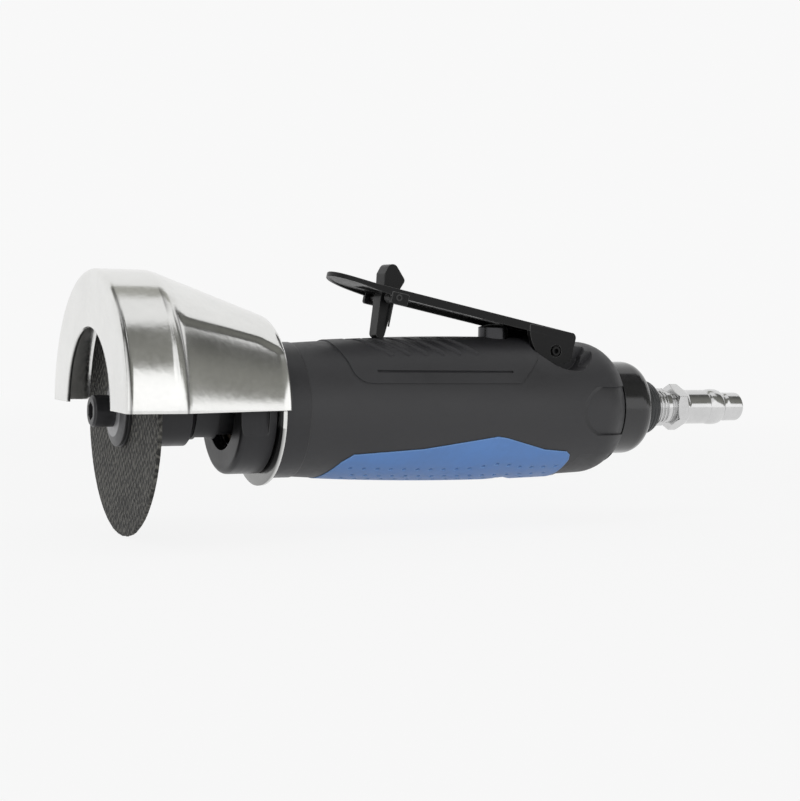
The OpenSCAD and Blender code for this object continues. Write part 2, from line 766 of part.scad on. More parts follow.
// Rotor with its front stub and rear journal
module rotor() {
    x0 = x_liner + rotor_end_gap;
    x1 = x_liner_end - rotor_end_gap;
    color("darkgray") difference() {
        union() {
            rod(x0, x1, rotor_r);
            rod(x_stub, x0 + 1, stub_r);
            rod(x1 - 1, x_motor_end + 0.5, rear_bearing[0]);
        }
        vanes(vane_t + 2 * seat_c, vane_depth + seat_c, x0 - 0.01, x1 + 0.01);
    }
}

// Vanes at the rim of the rotor, pushed fully in
module vanes(t, depth, x0, x1) {
    for (i = [0 : vane_count - 1])
        rotate([360 * (i + 0.5) / vane_count, 0, 0]) intersection() {
            translate([x0, -t / 2, rotor_r - depth]) cube([x1 - x0, t, depth + 1]);
            rod(x0, x1, rotor_r + (depth > vane_depth ? 1 : 0));
        }
}

module rotor_vanes() {
    color("sienna") vanes(vane_t, vane_depth, x_liner + rotor_end_gap, x_liner_end - rotor_end_gap);
}

// Spindle nose that carries the disc, screwed onto the rotor's stub
module spindle() {
    flat_len = nose_len - 2;
    color([0.14, 0.14, 0.15]) difference() {
        union() {
            rod(hub_len, x_nose_end, nose_d / 2);
            rod(x_nose_end - 0.1, x_cap_seat, neck_d / 2);
        }
        rod(hub_len - 1, hub_len + nose_thread_len, screw_r + seat_c);
        rod(x_stub - 0.3, x_cap_seat + 1, stub_r + seat_c);
        for (side = [-1, 1])
            translate([hub_len + 1, -nose_d, side * (nose_d - 0.9) - nose_d / 2])
                cube([flat_len, 2 * nose_d, nose_d]);
    }
}

module inner_flange() {
    r = flange_d / 2;
    color([0.16, 0.16, 0.17]) difference() {
        union() {
            turned([[0, 0], [0, r - 0.5], [0.5, r], [hub_len - hub_chamfer, r],
                [hub_len, r - 1.2 * hub_chamfer], [hub_len, 0]]);
            rod(-pilot_len, 0.1, pilot_r);
        }
        rod(-disc_t, hub_len + 1, screw_r + seat_c);
    }
}

module cutting_disc() {
    color([0.25, 0.24, 0.23]) tube(-disc_t, 0, disc_r, disc_bore_d / 2);
}

module outer_flange() {
    r = flange_d / 2;
    color([0.4, 0.4, 0.4]) difference() {
        turned([[x_flange, 0], [x_flange, r - 0.6], [x_flange + 0.6, r], [-disc_t, r], [-disc_t, 0]]);
        rod(x_flange - 1, 0, screw_r + seat_c);
    }
}

module disc_screw() {
    head = x_flange - screw_head_h;
    r = screw_head_d / 2;
    color([0.1, 0.1, 0.1]) difference() {
        union() {
            turned([[head, 0], [head, r - 0.6], [head + 0.6, r], [x_flange, r], [x_flange, 0]]);
            rod(x_flange - 0.1, x_screw_end, screw_r);
        }
        translate([head - 1, 0, 0]) rotate([0, 90, 0])
            cylinder(h = 1 + 0.6 * screw_head_h, r = screw_key / (2 * cos(30)), $fn = 6);
    }
}

// Sheet outline of the guard: front wall, rim, taper and rear plate; dip presses the side panel in
function guard_outer(dip) = concat(
    [[guard_x, guard_arch_r]],
    arc(guard_x + guard_corner_r, guard_r - guard_corner_r, guard_corner_r, 180, 90, 8),
    dip == 0 ? [] : [[panel_front, guard_r], [panel_front + panel_ramp, guard_r - dip],
        [panel_rear - panel_ramp, guard_r - dip], [panel_rear, guard_r]],
    [[guard_crease, guard_r], [x_plate_rear - 1.2, guard_rear_r + 1.2 * tan(taper_a)],
     [x_plate_rear, guard_rear_r - 1], [x_plate_rear, guard_hole_r]]);
function guard_inner(dip) = let (t = guard_t, r = guard_r - t) concat(
    [[x_plate, guard_hole_r],
     [x_plate, guard_r - (x_plate - guard_crease) * tan(taper_a) - t / cos(taper_a)],
     [guard_crease - t * tan(taper_a / 2), r]],
    dip == 0 ? [] : [[panel_rear - t / 2, r], [panel_rear - panel_ramp - t / 2, r - dip],
        [panel_front + panel_ramp + t / 2, r - dip], [panel_front + t / 2, r]],
    arc(guard_x + guard_corner_r, guard_r - guard_corner_r, guard_corner_r - t, 90, 180, 8),
    [[guard_x + t, guard_arch_r]]);
module guard_shell(dip) {
    turned(concat(guard_outer(dip), guard_inner(dip)));
}

// Wedge about the axis above the lower edge, between two angles from the horizontal on one side
module guard_wedge(a0, a1) {
    big = 3 * guard_r;
    translate([guard_x - guard_r, 0, 0]) rotate([90, 0, 90])
        linear_extrude(height = x_plate_rear - guard_x + 2 * guard_r)
        polygon(concat([[0, 0]], arc(0, 0, big, a0, a1, 2)));
}

module disc_guard() {
    color([0.8, 0.8, 0.79]) union() {
        difference() {
            union() {
                intersection() {
                    guard_shell(0);
                    guard_wedge(panel_angle, 180 - panel_angle);
                }
                intersection() {
                    guard_shell(panel_depth);
                    guard_wedge(-20, panel_angle);
                }
                intersection() {
                    guard_shell(panel_depth);
                    guard_wedge(180 - panel_angle, 200);
                }
            }
            translate([guard_x - guard_r, -2 * guard_r, guard_edge_z - 3 * guard_r])
                cube([x_plate_rear + guard_front + 2 * guard_r, 4 * guard_r, 3 * guard_r]);
        }
        tube(x_plate, x_plate_rear, guard_plate_r, guard_hole_r);
    }
}

// Valve bush pressed into the housing: stem guide, chamber with a feed hole, seat
module valve_bush() {
    color("khaki") difference() {
        translate([x_valve, 0, z_seat]) cylinder(h = z_bush_top - z_seat, r = valve_bore_r - seat_c);
        translate([x_valve, 0, z_seat - 1]) cylinder(h = z_bush_top, r = stem_r + run_c);
        translate([x_valve, 0, z_seat - 1]) cylinder(h = chamber_top - z_seat + 1, r = chamber_r);
        translate([0, 0, feed_z]) rod(x_valve - 2 * valve_bore_r, x_valve, feed_r);
    }
}

// Button, stem: pressed down by the lever
module throttle_plunger() {
    color([0.35, 0.35, 0.37]) translate([x_valve, 0, 0]) {
        intersection() {
            translate([0, 0, z_button]) cylinder(h = button_h + 1, r = button_r);
            translate([0, 0, button_c_z]) sphere(r = button_dome_r);
        }
        translate([0, 0, z_plug - plug_h + 0.6]) cylinder(h = z_button - z_plug + plug_h, r = stem_r);
    }
}

module valve_plug() {
    color("khaki") translate([x_valve, 0, z_plug - plug_h]) difference() {
        cylinder(h = plug_h, r = plug_r);
        translate([0, 0, 0.6 - seat_c]) cylinder(h = plug_h, r = stem_r + seat_c);
    }
}

// Seal ring that lies on the plug and closes the seat
module valve_seal() {
    color([0.12, 0.12, 0.12]) translate([x_valve, 0, z_plug + seal_r])
        rotate_extrude() translate([seal_ring_r, 0]) circle(r = seal_r);
}

function valve_coil(per_turn) = [for (i = [0 : valve_turns * per_turn])
    let (a = 360 * i / per_turn)
    [x_valve + valve_coil_r * cos(a), valve_coil_r * sin(a),
        z_valve_floor + 0.05 + valve_wire_r + valve_pitch * i / per_turn]];
module valve_spring() {
    path = valve_coil(16);
    echo(str("valve spring, least gap to itself: ", coil_gap(path, 16, valve_wire_r)));
    color("silver") swept(path, valve_wire_r, [0, 0, 1]);
}

module lever_pin() {
    color([0.5, 0.5, 0.5]) difference() {
        cross_rod(x_pivot, pivot_z, lever_pin_r, lever_w / 2 + 0.4);
        cross_rod(x_pivot, pivot_z, lever_pin_r * 0.55, lever_w);
    }
}

// Lever: sheet plate with a round tip, slot for the catch, rear ears and catch ears
module throttle_lever() {
    tip_r = lever_w / 2;
    color([0.07, 0.07, 0.07]) lever_frame() difference() {
        union() {
            translate([-lever_front + tip_r, -lever_w / 2, lever_rise])
                cube([lever_front - tip_r + lever_rear, lever_w, lever_t]);
            translate([-lever_front + tip_r, 0, lever_rise]) cylinder(h = lever_t, r = tip_r);
            for (side = [-1, 1]) {
                translate([0, side * (ear_in + ear_t / 2) + ear_t / 2, 0]) rotate([90, 0, 0])
                    linear_extrude(height = ear_t) intersection() {
                        translate([0, plate_top]) circle(r = ear_r);
                        translate([-ear_r, plate_top - ear_r]) square([ear_r + lever_rear, ear_r]);
                    }
                translate([-catch_ahead - catch_ear_front,
                    side * (lever_w / 2 - catch_ear_t / 2) - catch_ear_t / 2, lever_rise - catch_ear_h])
                    cube([catch_ear_front + catch_ear_rear, catch_ear_t, catch_ear_h + 0.1]);
            }
        }
        translate([-catch_ahead - slot_front, -slot_w / 2, lever_rise - 1])
            cube([slot_front + slot_rear, slot_w, lever_t + 2]);
        // Window for the catch spring's coil
        translate([-catch_ahead - window_r, -slot_w / 2 - window_w, lever_rise - 1])
            cube([2 * window_r, window_w + 1, lever_t + 2]);
        rotate([90, 0, 0]) cylinder(h = 2 * lever_w, r = lever_pin_r + run_c, center = true);
        translate([-catch_ahead, 0, catch_z]) rotate([90, 0, 0])
            cylinder(h = 2 * lever_w, r = catch_pin_r + seat_c, center = true);
    }
}

module catch_pin() {
    color("silver") lever_frame() translate([-catch_ahead, 0, catch_z]) rotate([90, 0, 0]) difference() {
        cylinder(h = lever_w + 0.6, r = catch_pin_r, center = true);
        cylinder(h = 2 * lever_w, r = 0.55 * catch_pin_r, center = true);
    }
}

// Catch: leg that blocks the lever against the grip, hub on the pin, thumb lobe above the plate
module lock_catch() {
    color([0.12, 0.12, 0.13]) lever_frame() translate([-catch_ahead, 0, catch_z]) difference() {
        union() {
            rotate([90, 0, 0]) linear_extrude(height = catch_w, center = true) {
                translate([0, -foot_len + foot_t / 2]) circle(r = foot_t / 2);
                polygon([[-foot_t / 2, -foot_len + foot_t / 2], [foot_t / 2, -foot_len + foot_t / 2],
                    [catch_hub_r, 0], [foot_t / 2 + 0.2, lobe_bulge], [-foot_t / 2 - 0.2, lobe_bulge],
                    [-catch_hub_r, 0]]);
                circle(r = catch_hub_r);
            }
            rotate([90, 0, 0]) linear_extrude(height = lobe_w, center = true) lobe_outline();
        }
        rotate([90, 0, 0]) cylinder(h = 2 * lobe_w, r = catch_pin_r + run_c, center = true);
    }
}

// Side outline of the thumb lobe: upright front, round crown, bulge low at the back
module lobe_outline() {
    hull() {
        for (p = [[0.6 - lobe_front, lobe_low], [-lobe_front, lobe_top - 2.5 * lobe_crown_r]])
            translate(p + [lobe_edge_r, lobe_edge_r]) circle(r = lobe_edge_r, $fn = 32);
        translate([lobe_crown_r - 0.8 * lobe_front, lobe_top - lobe_crown_r]) circle(r = lobe_crown_r, $fn = 32);
        for (p = [[lobe_back, lobe_bulge - lobe_edge_r], [lobe_back - 1.1, lobe_low]])
            translate(p + [-lobe_edge_r, lobe_edge_r]) circle(r = lobe_edge_r, $fn = 32);
    }
}

// Torsion spring on the catch pin: a long leg beside the catch and a short end under the plate
function catch_coil(per_turn) = let (r = catch_coil_r, n = catch_turns * per_turn,
    y0 = -lobe_w / 2 - free_c - catch_wire_r) concat(
    [[r, y0, -9], [r, y0, -5.5], [r, y0, -2]],
    [for (i = [0 : n]) let (a = 360 * i / per_turn)
        [r * cos(a), y0 - catch_pitch * i / per_turn, r * sin(a)]],
    [[r, y0 - catch_turns * catch_pitch, 0.8]]);
module catch_spring() {
    path = catch_coil(12);
    echo(str("catch spring, least gap to itself: ", coil_gap(path, 12, catch_wire_r)));
    color("silver") lever_frame() translate([-catch_ahead, 0, catch_z])
        swept(path, catch_wire_r, [0, 1, 0]);
}

// Rounded outline of the bushing outside the rear collar
function bushing_round() = let (x0 = x_collar_end, drop = bushing_r - bushing_end_r) [for (i = [0 : 8])
    let (a = 90 * i / 8) [x0 + bushing_out * sin(a), bushing_end_r + drop * cos(a)]];

// Bushing in the tail: thread in the housing, flange that guides the exhaust, nipple thread
module inlet_bushing() {
    color([0.28, 0.28, 0.29]) difference() {
        union() {
            rod(x_bushing + 1, x_bushing_flange + 0.1, bushing_thread_r);
            turned(concat([[x_bushing_flange, 0], [x_bushing_flange, bushing_r]], bushing_round(),
                [[x_bushing_end, 0]]));
        }
        rod(x_bushing, x_bushing_end, inlet_r);
        rod(x_nipple - washer_t, x_bushing_end + 1, nipple_r + seat_c);
    }
}

// Dished screen that sits at the bottom of the nipple thread
module inlet_screen() {
    color("goldenrod") tube(x_nipple - washer_t, x_nipple - washer_t + 0.5, nipple_r - 0.2, inlet_r - 1.5);
}

module nipple_washer() {
    color([0.2, 0.2, 0.2]) tube(x_nipple - washer_t + 0.5, x_nipple, nipple_r - 0.2, nipple_bore_d / 2);
}

// Plug nipple: thread, hexagon, stem with its collar, groove and tip
module air_nipple() {
    s = nipple_stem_d / 2;
    tip = nipple_tip_d / 2;
    collar_x = x_tip - 8.4;
    color([0.85, 0.85, 0.85]) difference() {
        union() {
            rod(x_nipple, x_hex + 0.1, nipple_r);
            translate([x_hex, 0, 0]) rotate([0, 90, 0])
                cylinder(h = nipple_hex_len, r = nipple_hex / (2 * cos(30)), $fn = 6);
            turned(concat([[x_stem - 0.1, 0], [x_stem - 0.1, nipple_hex / 2 - 0.1], [x_stem + 2, s]],
                [[collar_x, s], [collar_x + 0.6, s - 0.6], [collar_x + 1.2, s + 0.2],
                 [x_tip - 2.9, s + 0.2], [x_tip - 2.4, tip - 0.4], [x_tip, tip - 0.4], [x_tip + 0.4, tip]],
                arc(x_end - 1.2, tip - 1.2, 1.2, 90, 0, 4), [[x_end, 0]]));
        }
        rod(x_nipple - 1, x_end + 1, nipple_bore_d / 2);
    }
}

// Rear collar on the tail, rounded towards the exhaust opening
module rear_collar() {
    edge = rear_collar_r - exhaust_r + 0.6;
    r = rear_collar_r;
    color([0.08, 0.08, 0.08]) difference() {
        turned(concat([[x_grip_end, 0], [x_grip_end, r]],
            [for (i = [0 : 8]) let (a = 90 * i / 8)
                [x_collar_end - edge + edge * sin(a), exhaust_r + (r - exhaust_r) * cos(a)]],
            [[x_collar_end, 0]]));
        rod(x_grip_end - 1, x_collar_end - collar_lip, tail_r + seat_c);
        rod(x_grip_end, x_collar_end + 1, exhaust_r);
    }
}

// Porous ring between bushing and rear collar that quietens the exhaust
module exhaust_silencer() {
    color("tan") tube(x_tail_end + seat_c, x_collar_end - collar_lip - seat_c, tail_r - seat_c, bushing_r + seat_c);
}

motor_housing();
grip_sleeve();
grip_insert();
front_cap();
front_end_plate();
cylinder_liner();
liner_dowel();
rear_end_plate();
front_bearing_outer();
rear_bearing_outer();
valve_bush();
valve_spring();
lever_pin();
inlet_bushing();
inlet_screen();
air_nipple();
nipple_washer();
rear_collar();
exhaust_silencer();
rotor();
rotor_vanes();
spindle();
inner_flange();
cutting_disc();
outer_flange();
disc_screw();
front_bearing_inner();
rear_bearing_inner();
front_bearing_balls();
front_bearing_cage();
rear_bearing_balls();
rear_bearing_cage();
disc_guard();
throttle_lever();
catch_pin();
catch_spring();
lock_catch();
throttle_plunger();
valve_plug();
valve_seal();
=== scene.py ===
"""Looks of a pneumatic cut-off tool, laid out as an add-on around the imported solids."""

import json
import math

import bmesh
import bpy
from bpy.props import FloatProperty, FloatVectorProperty, PointerProperty
from mathutils import Matrix, Vector


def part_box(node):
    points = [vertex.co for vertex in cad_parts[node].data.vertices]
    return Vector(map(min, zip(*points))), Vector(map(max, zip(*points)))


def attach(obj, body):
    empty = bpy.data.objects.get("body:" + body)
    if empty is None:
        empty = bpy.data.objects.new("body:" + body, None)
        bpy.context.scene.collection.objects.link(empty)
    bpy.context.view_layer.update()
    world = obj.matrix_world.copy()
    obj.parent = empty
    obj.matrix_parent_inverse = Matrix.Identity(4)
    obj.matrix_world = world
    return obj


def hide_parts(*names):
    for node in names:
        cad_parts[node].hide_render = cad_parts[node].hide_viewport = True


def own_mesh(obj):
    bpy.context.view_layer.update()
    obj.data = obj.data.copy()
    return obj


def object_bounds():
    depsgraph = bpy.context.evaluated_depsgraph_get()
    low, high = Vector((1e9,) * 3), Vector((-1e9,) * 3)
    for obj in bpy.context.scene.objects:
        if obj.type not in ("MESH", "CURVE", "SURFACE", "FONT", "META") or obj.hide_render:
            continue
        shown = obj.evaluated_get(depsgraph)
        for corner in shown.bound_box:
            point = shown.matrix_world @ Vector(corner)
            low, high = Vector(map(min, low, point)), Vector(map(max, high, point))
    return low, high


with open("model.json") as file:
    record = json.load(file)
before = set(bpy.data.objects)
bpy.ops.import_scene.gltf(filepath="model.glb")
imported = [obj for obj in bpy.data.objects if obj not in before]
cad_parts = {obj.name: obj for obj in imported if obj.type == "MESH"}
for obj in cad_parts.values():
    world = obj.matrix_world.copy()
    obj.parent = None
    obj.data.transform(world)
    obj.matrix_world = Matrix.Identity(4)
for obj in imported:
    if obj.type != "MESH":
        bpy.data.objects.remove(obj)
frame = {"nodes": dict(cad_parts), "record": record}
CAD_BOX = [list(corner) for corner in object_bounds()]
NODES = frame["nodes"]
BODY_OF = {n: b for b, nodes in frame["record"]["behaviour"]["bodies"].items() for n in nodes}
MM = 0.001
# Vertices closer than this, in metres, are one
DOUBLE = 2e-6

bl_info = {
    "name": "Pneumatic cut-off tool",
    "version": (1, 0, 0),
    "blender": (4, 5, 0),
    "location": "3D View > Sidebar > Cut-off tool",
    "description": "Builds the visible pieces and finishes of a hand-held air cut-off tool",
    "category": "Add Mesh",
}


def length(name, description, default):
    """A length in metres that a user may change."""
    return FloatProperty(
        name=name, description=description, default=default, min=0.0, max=0.5, precision=5, unit="LENGTH"
    )


def colour(name, description, default):
    """A linear colour that a user may change."""
    return FloatVectorProperty(
        name=name, description=description, default=default, size=3, min=0.0, max=1.0, subtype="COLOR"
    )


def power(name, description, default):
    """The power of a lamp in watts that a user may change."""
    return FloatProperty(name=name, description=description, default=default, min=0.0, unit="POWER")


class GuardSettings(bpy.types.PropertyGroup):
    """Sizes and colour of the pressed guard."""

    sheet: length("Sheet", "Thickness of the pressed sheet", 0.0012)
    panel_depth: length("Panel depth", "How far the side panels are pressed in", 0.0007)
    flank_depth: length("Flank depth", "How far the lower flanks of the taper are pressed in", 0.0007)
    steel: colour("Plating", "Colour of the bright plating", (0.80, 0.80, 0.785))


class DiscSettings(bpy.types.PropertyGroup):
    """Colours of the cutting disc and its flange, and the form of the disc's rim."""

    bond: colour("Bond", "Colour of the abrasive bond", (0.012, 0.0117, 0.011))
    fibre: colour("Fibre", "Colour of the glass fabric under the surface", (0.110, 0.107, 0.096))
    flange: colour("Flange", "Colour of the blackened flange", (0.035, 0.035, 0.036))
    rim_grit: length("Rim grit", "Roughness of the cutting edge", 0.0005)
    taper: length("Taper", "How much thinner the disc is at its rim", 0.0004)


class GripSettings(bpy.types.PropertyGroup):
    """Colours of the grip, its ear pockets and the dimples of its insert."""

    body: colour("Body", "Colour of the moulded grip", (0.0215, 0.0215, 0.0235))
    insert: colour("Insert", "Colour of the soft insert", (0.090, 0.205, 0.470))
    pocket: length("Pocket", "Radius of the pockets about the lever's ears", 0.0128)
    dimple: length("Dimple", "Radius of a dimple in the insert", 0.00075)
    pitch: length("Pitch", "Distance between dimples", 0.0046)


class LeverSettings(bpy.types.PropertyGroup):
    """Colour of the throttle lever and its catch, and sizes of the lever."""

    paint: colour("Paint", "Colour of the lever's paint", (0.0065, 0.0065, 0.0068))
    sheet: length("Sheet", "Thickness of the lever's sheet", 0.0012)
    lip: length("Lip", "Height of the turned-down edge, with the sheet", 0.0027)
    lift: length("Lift", "How far the tip is bent up", 0.0013)
    edge: length("Edge", "Radius of the lever's edges", 0.0004)


class InletSettings(bpy.types.PropertyGroup):
    """Colour and thread of the plug nipple."""

    nickel: colour("Nickel", "Colour of the plated nipple", (0.64, 0.64, 0.64))
    thread_pitch: length("Thread pitch", "Pitch of the nipple's thread", 0.00134)


class StageSettings(bpy.types.PropertyGroup):
    """Backdrop and light."""

    backdrop: FloatProperty(
        name="Backdrop",
        description="Level of the pale backdrop, where 1 is white",
        default=0.94,
        min=0.0,
        max=1.0,
    )
    key_power: power("Key light", "Power of the overhead soft light", 1.2)
    fill_power: power("Fill light", "Power of the soft light in front", 2.2)


class ToolSettings(bpy.types.PropertyGroup):
    """Everything a user would change."""

    guard: PointerProperty(type=GuardSettings)
    disc: PointerProperty(type=DiscSettings)
    grip: PointerProperty(type=GripSettings)
    lever: PointerProperty(type=LeverSettings)
    inlet: PointerProperty(type=InletSettings)
    stage: PointerProperty(type=StageSettings)


def ramp(value, low, high):
    """Smooth step from 0 at low to 1 at high."""
    t = min(1.0, max(0.0, (value - low) / (high - low)))
    return t * t * (3 - 2 * t)


def bell(distance, width):
    """1 at no distance, falling off smoothly over a width."""
    return math.exp(-((distance / width) ** 2))


def arc(cx, cr, radius, start, end, steps):
    """Points along an arc about [cx, cr], angles in degrees."""
    angles = [math.radians(start + (end - start) * i / steps) for i in range(steps + 1)]
    return [(cx + radius * math.cos(a), cr + radius * math.sin(a)) for a in angles]


def spread(low, high, count):
    """Evenly spaced values from low to high."""
    return [low + (high - low) * i / (count - 1) for i in range(count)]


def rise(p):
    """Angle of a place above the horizontal, seen along the spindle, in degrees."""
    return math.degrees(math.atan2(p.z, abs(p.y)))


def reach(p):
    """Distance of a place from the spindle axis."""
    return math.hypot(p.y, p.z)


def box_mm(node):
    """Lowest and highest corner of a CAD node at rest, in mm."""
    return [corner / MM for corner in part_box(node)]


def only(piece):
    """Selects one piece alone and makes it active."""
    bpy.ops.object.select_all(action="DESELECT")
    piece.select_set(True)
    bpy.context.view_layer.objects.active = piece


def start_piece(name):
    """Begins a piece in edit mode with one vertex at the origin."""
    bpy.ops.object.select_all(action="DESELECT")
    bpy.ops.mesh.primitive_plane_add(size=MM)
    piece = bpy.context.object
    piece.name = piece.data.name = name
    bpy.ops.object.mode_set(mode="EDIT")
    bpy.ops.mesh.merge(type="CENTER")
    return piece


def trace(points, tilt=90.0):
    """Extrudes the selected vertex along [x, r] points in mm, in a half plane tilted up from -Y."""
    a = math.radians(tilt)
    here = Vector()
    for i, (x, r) in enumerate(points):
        there = Vector((x, -r * math.cos(a), r * math.sin(a))) * MM
        if i == 0:
            bpy.ops.transform.translate(value=there)
        else:
            bpy.ops.mesh.extrude_vertices_move(TRANSFORM_OT_translate={"value": there - here})
        here = there


def start_loop(name, points, tilt=90.0):
    """Begins a piece as a closed loop of [x, r] points in mm, all selected in edit mode."""
    piece = start_piece(name)
    trace(list(points) + [points[0]], tilt)
    bpy.ops.mesh.select_all(action="SELECT")
    bpy.ops.mesh.remove_doubles(threshold=DOUBLE)
    return piece


def pick(test, kind="VERT"):
    """Selects the vertices or edges in edit mode whose ends all pass the test, in mm."""
    bpy.ops.mesh.select_mode(type=kind)
    bpy.ops.mesh.select_all(action="DESELECT")
    mesh = bmesh.from_edit_mesh(bpy.context.object.data)
    found = 0
    for item in {"VERT": mesh.verts, "EDGE": mesh.edges}[kind]:
        ends = [item] if kind == "VERT" else item.verts
        if all(test(end.co / MM) for end in ends):
            item.select_set(True)
            found += 1
    if not found:
        raise RuntimeError("nothing of " + bpy.context.object.name + " lies where it is picked")
    mesh.select_flush_mode()
    bmesh.update_edit_mesh(bpy.context.object.data)


def close_up():
    """Merges doubles and turns the faces outwards, still in edit mode."""
    bpy.ops.mesh.select_mode(type="VERT")
    bpy.ops.mesh.select_all(action="SELECT")
    bpy.ops.mesh.remove_doubles(threshold=DOUBLE)
    bpy.ops.mesh.normals_make_consistent(inside=False)


def spin(angle, steps):
    """Spins the selection about the spindle axis, in degrees."""
    turn = math.radians(angle)
    bpy.ops.mesh.spin(steps=steps, angle=turn, center=(0, 0, 0), axis=(1, 0, 0), use_auto_merge=False)


def lathe(name, points, steps=96):
    """A closed turned piece from a closed loop of [x, r] points in mm."""
    piece = start_loop(name, points)
    spin(360, steps)
    close_up()
    bpy.ops.object.mode_set(mode="OBJECT")
    return piece


def prism(name, points, near, far):
    """A closed plate from a closed loop of [x, z] points in mm, between two places across."""
    piece = start_loop(name, points)
    bpy.ops.mesh.edge_face_add()
    bpy.ops.transform.translate(value=(0, near * MM, 0))
    bpy.ops.mesh.extrude_region_move(TRANSFORM_OT_translate={"value": (0, (far - near) * MM, 0)})
    close_up()
    bpy.ops.object.mode_set(mode="OBJECT")
    return piece


def block(name, left, right, bottom, top, near, far):
    """A closed box between places along, up and across, in mm."""
    corners = [(left, bottom), (right, bottom), (right, top), (left, top)]
    return prism(name, corners, near, far)


def join(piece, *others):
    """Joins other pieces into one."""
    only(piece)
    for other in others:
        other.select_set(True)
    bpy.ops.object.join()


def modify(piece, kind, **settings):
    """Adds a modifier with these settings and applies it."""
    modifier = piece.modifiers.new(kind.lower(), kind)
    for key, value in settings.items():
        setattr(modifier, key, value)
    bpy.context.view_layer.objects.active = piece
    bpy.ops.object.modifier_apply(modifier=modifier.name)


def carve(piece, cutter, operation="DIFFERENCE"):
    """Cuts a closed shape out of a piece, or keeps only what lies in it, and drops that shape."""
    modify(piece, "BOOLEAN", operation=operation, object=cutter, solver="EXACT")
    bpy.data.objects.remove(cutter)
    if not piece.data.polygons:
        raise RuntimeError("nothing of " + piece.name + " is left after the cut")


def round_edges(piece, width, segments, angle):
    """Rounds the edges sharper than an angle in degrees."""
    limit = math.radians(angle)
    modify(piece, "BEVEL", width=width, segments=segments, limit_method="ANGLE", angle_limit=limit)


def thicken(piece, thickness):
    """Gives a surface the thickness of its sheet, inwards."""
    modify(piece, "SOLIDIFY", thickness=thickness, offset=-1.0, use_even_offset=True)


def copy_solid(node, name):
    """A merged copy of a CAD node's mesh, free to be worked on."""
    piece = bpy.data.objects.new(name, NODES[node].data.copy())
    bpy.context.collection.objects.link(piece)
    only(piece)
    bpy.ops.object.mode_set(mode="EDIT")
    close_up()
    bpy.ops.mesh.customdata_custom_splitnormals_clear()
    bpy.ops.object.mode_set(mode="OBJECT")
    return piece


def weigh(piece, name, weight):
    """Fills a vertex group with weights from a function of the place in mm."""
    group = piece.vertex_groups.new(name=name)
    for vertex in piece.data.vertices:
        value = weight(vertex.co / MM)
        if value > 0:
            group.add([vertex.index], value, "REPLACE")


def press(piece, name, weight, distance, direction="NORMAL"):
    """Moves a piece's surface by a distance times a weight, a function of the place in mm."""
    weigh(piece, name, weight)
    modify(piece, "DISPLACE", direction=direction, mid_level=0.0, strength=distance, vertex_group=name)


def mark(piece, name, weight):
    """Keeps a mask, from a function of the place in mm, as an attribute that a finish reads."""
    layer = piece.data.attributes.new(name, "FLOAT", "POINT")
    for vertex, item in zip(piece.data.vertices, layer.data):
        item.value = weight(vertex.co / MM)


def smooth(piece, angle, even=False):
    """Shades a piece smooth below an angle in degrees, with large faces kept even if asked."""
    only(piece)
    bpy.ops.object.shade_smooth_by_angle(angle=math.radians(angle))
    if even:
        modify(piece, "WEIGHTED_NORMAL", keep_sharp=True)


def hand_over(piece, node, slot):
    """Gives a finished piece its material, lets it ride on the node's body and stand for the node."""
    piece.data.materials.clear()
    piece.data.materials.append(FINISHES[slot])
    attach(piece, BODY_OF[node])
    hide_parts(node)


def put(tree, kind, inputs=None, **settings):
    """Adds a node, sets its properties, and links or sets its inputs."""
    node = tree.nodes.new(kind)
    for key, value in settings.items():
        setattr(node, key, value)
    for key, value in (inputs or {}).items():
        if isinstance(value, bpy.types.NodeSocket):
            tree.links.new(value, node.inputs[key])
        else:
            node.inputs[key].default_value = value
    return node


def object_place(tree):
    """The place on the piece, in its own coordinates."""
    return put(tree, "ShaderNodeTexCoord").outputs["Object"]


def noise(tree, place, scale, detail=3.0):
    """Noise at a scale, which may be a socket."""
    given = {"Vector": place, "Scale": scale, "Detail": detail}
    return put(tree, "ShaderNodeTexNoise", given).outputs["Fac"]


def reckon(tree, operation, *values, **settings):
    """The result of a sum on values or sockets."""
    return put(tree, "ShaderNodeMath", dict(enumerate(values)), operation=operation, **settings).outputs[0]


def span(tree, value, low, high, start=0.0, end=1.0, **settings):
    """Carries a value from the range low to high over to the range start to end."""
    given = {"Value": value, "From Min": low, "From Max": high, "To Min": start, "To Max": end}
    return put(tree, "ShaderNodeMapRange", given, **settings).outputs[0]


def mix_tone(tree, mask, first, second):
    """Goes from one colour to another by a mask."""
    given = {"Factor": mask, 6: first, 7: second}
    return put(tree, "ShaderNodeMix", given, data_type="RGBA").outputs[2]


def mix_mask(tree, share, first, second):
    """Goes from one mask to another by a share."""
    return put(tree, "ShaderNodeMix", {"Factor": share, 2: first, 3: second}).outputs[0]


def emboss(tree, height, distance, **normal):
    """Turns a height into relief."""
    given = {"Strength": 1.0, "Distance": distance, "Height": height, **normal}
    return put(tree, "ShaderNodeBump", given).outputs[0]


def effect(name, inputs, outputs):
    """A new shader node group with float inputs {name: default} and the outputs {name: socket type}."""
    tree = bpy.data.node_groups.new(name, "ShaderNodeTree")
    for key, value in inputs.items():
        socket = tree.interface.new_socket(key, in_out="INPUT", socket_type="NodeSocketFloat")
        socket.default_value = value
    for key, kind in outputs.items():
        tree.interface.new_socket(key, in_out="OUTPUT", socket_type=kind)
    return tree, put(tree, "NodeGroupInput").outputs, put(tree, "NodeGroupOutput").inputs


def grain_effect(name):
    """Fine moulded or blasted grain as a height."""
    tree, given, out = effect(name, {"Scale": 900.0}, {"Height": "NodeSocketFloat"})
    tree.links.new(noise(tree, object_place(tree), given["Scale"]), out["Height"])
    return tree


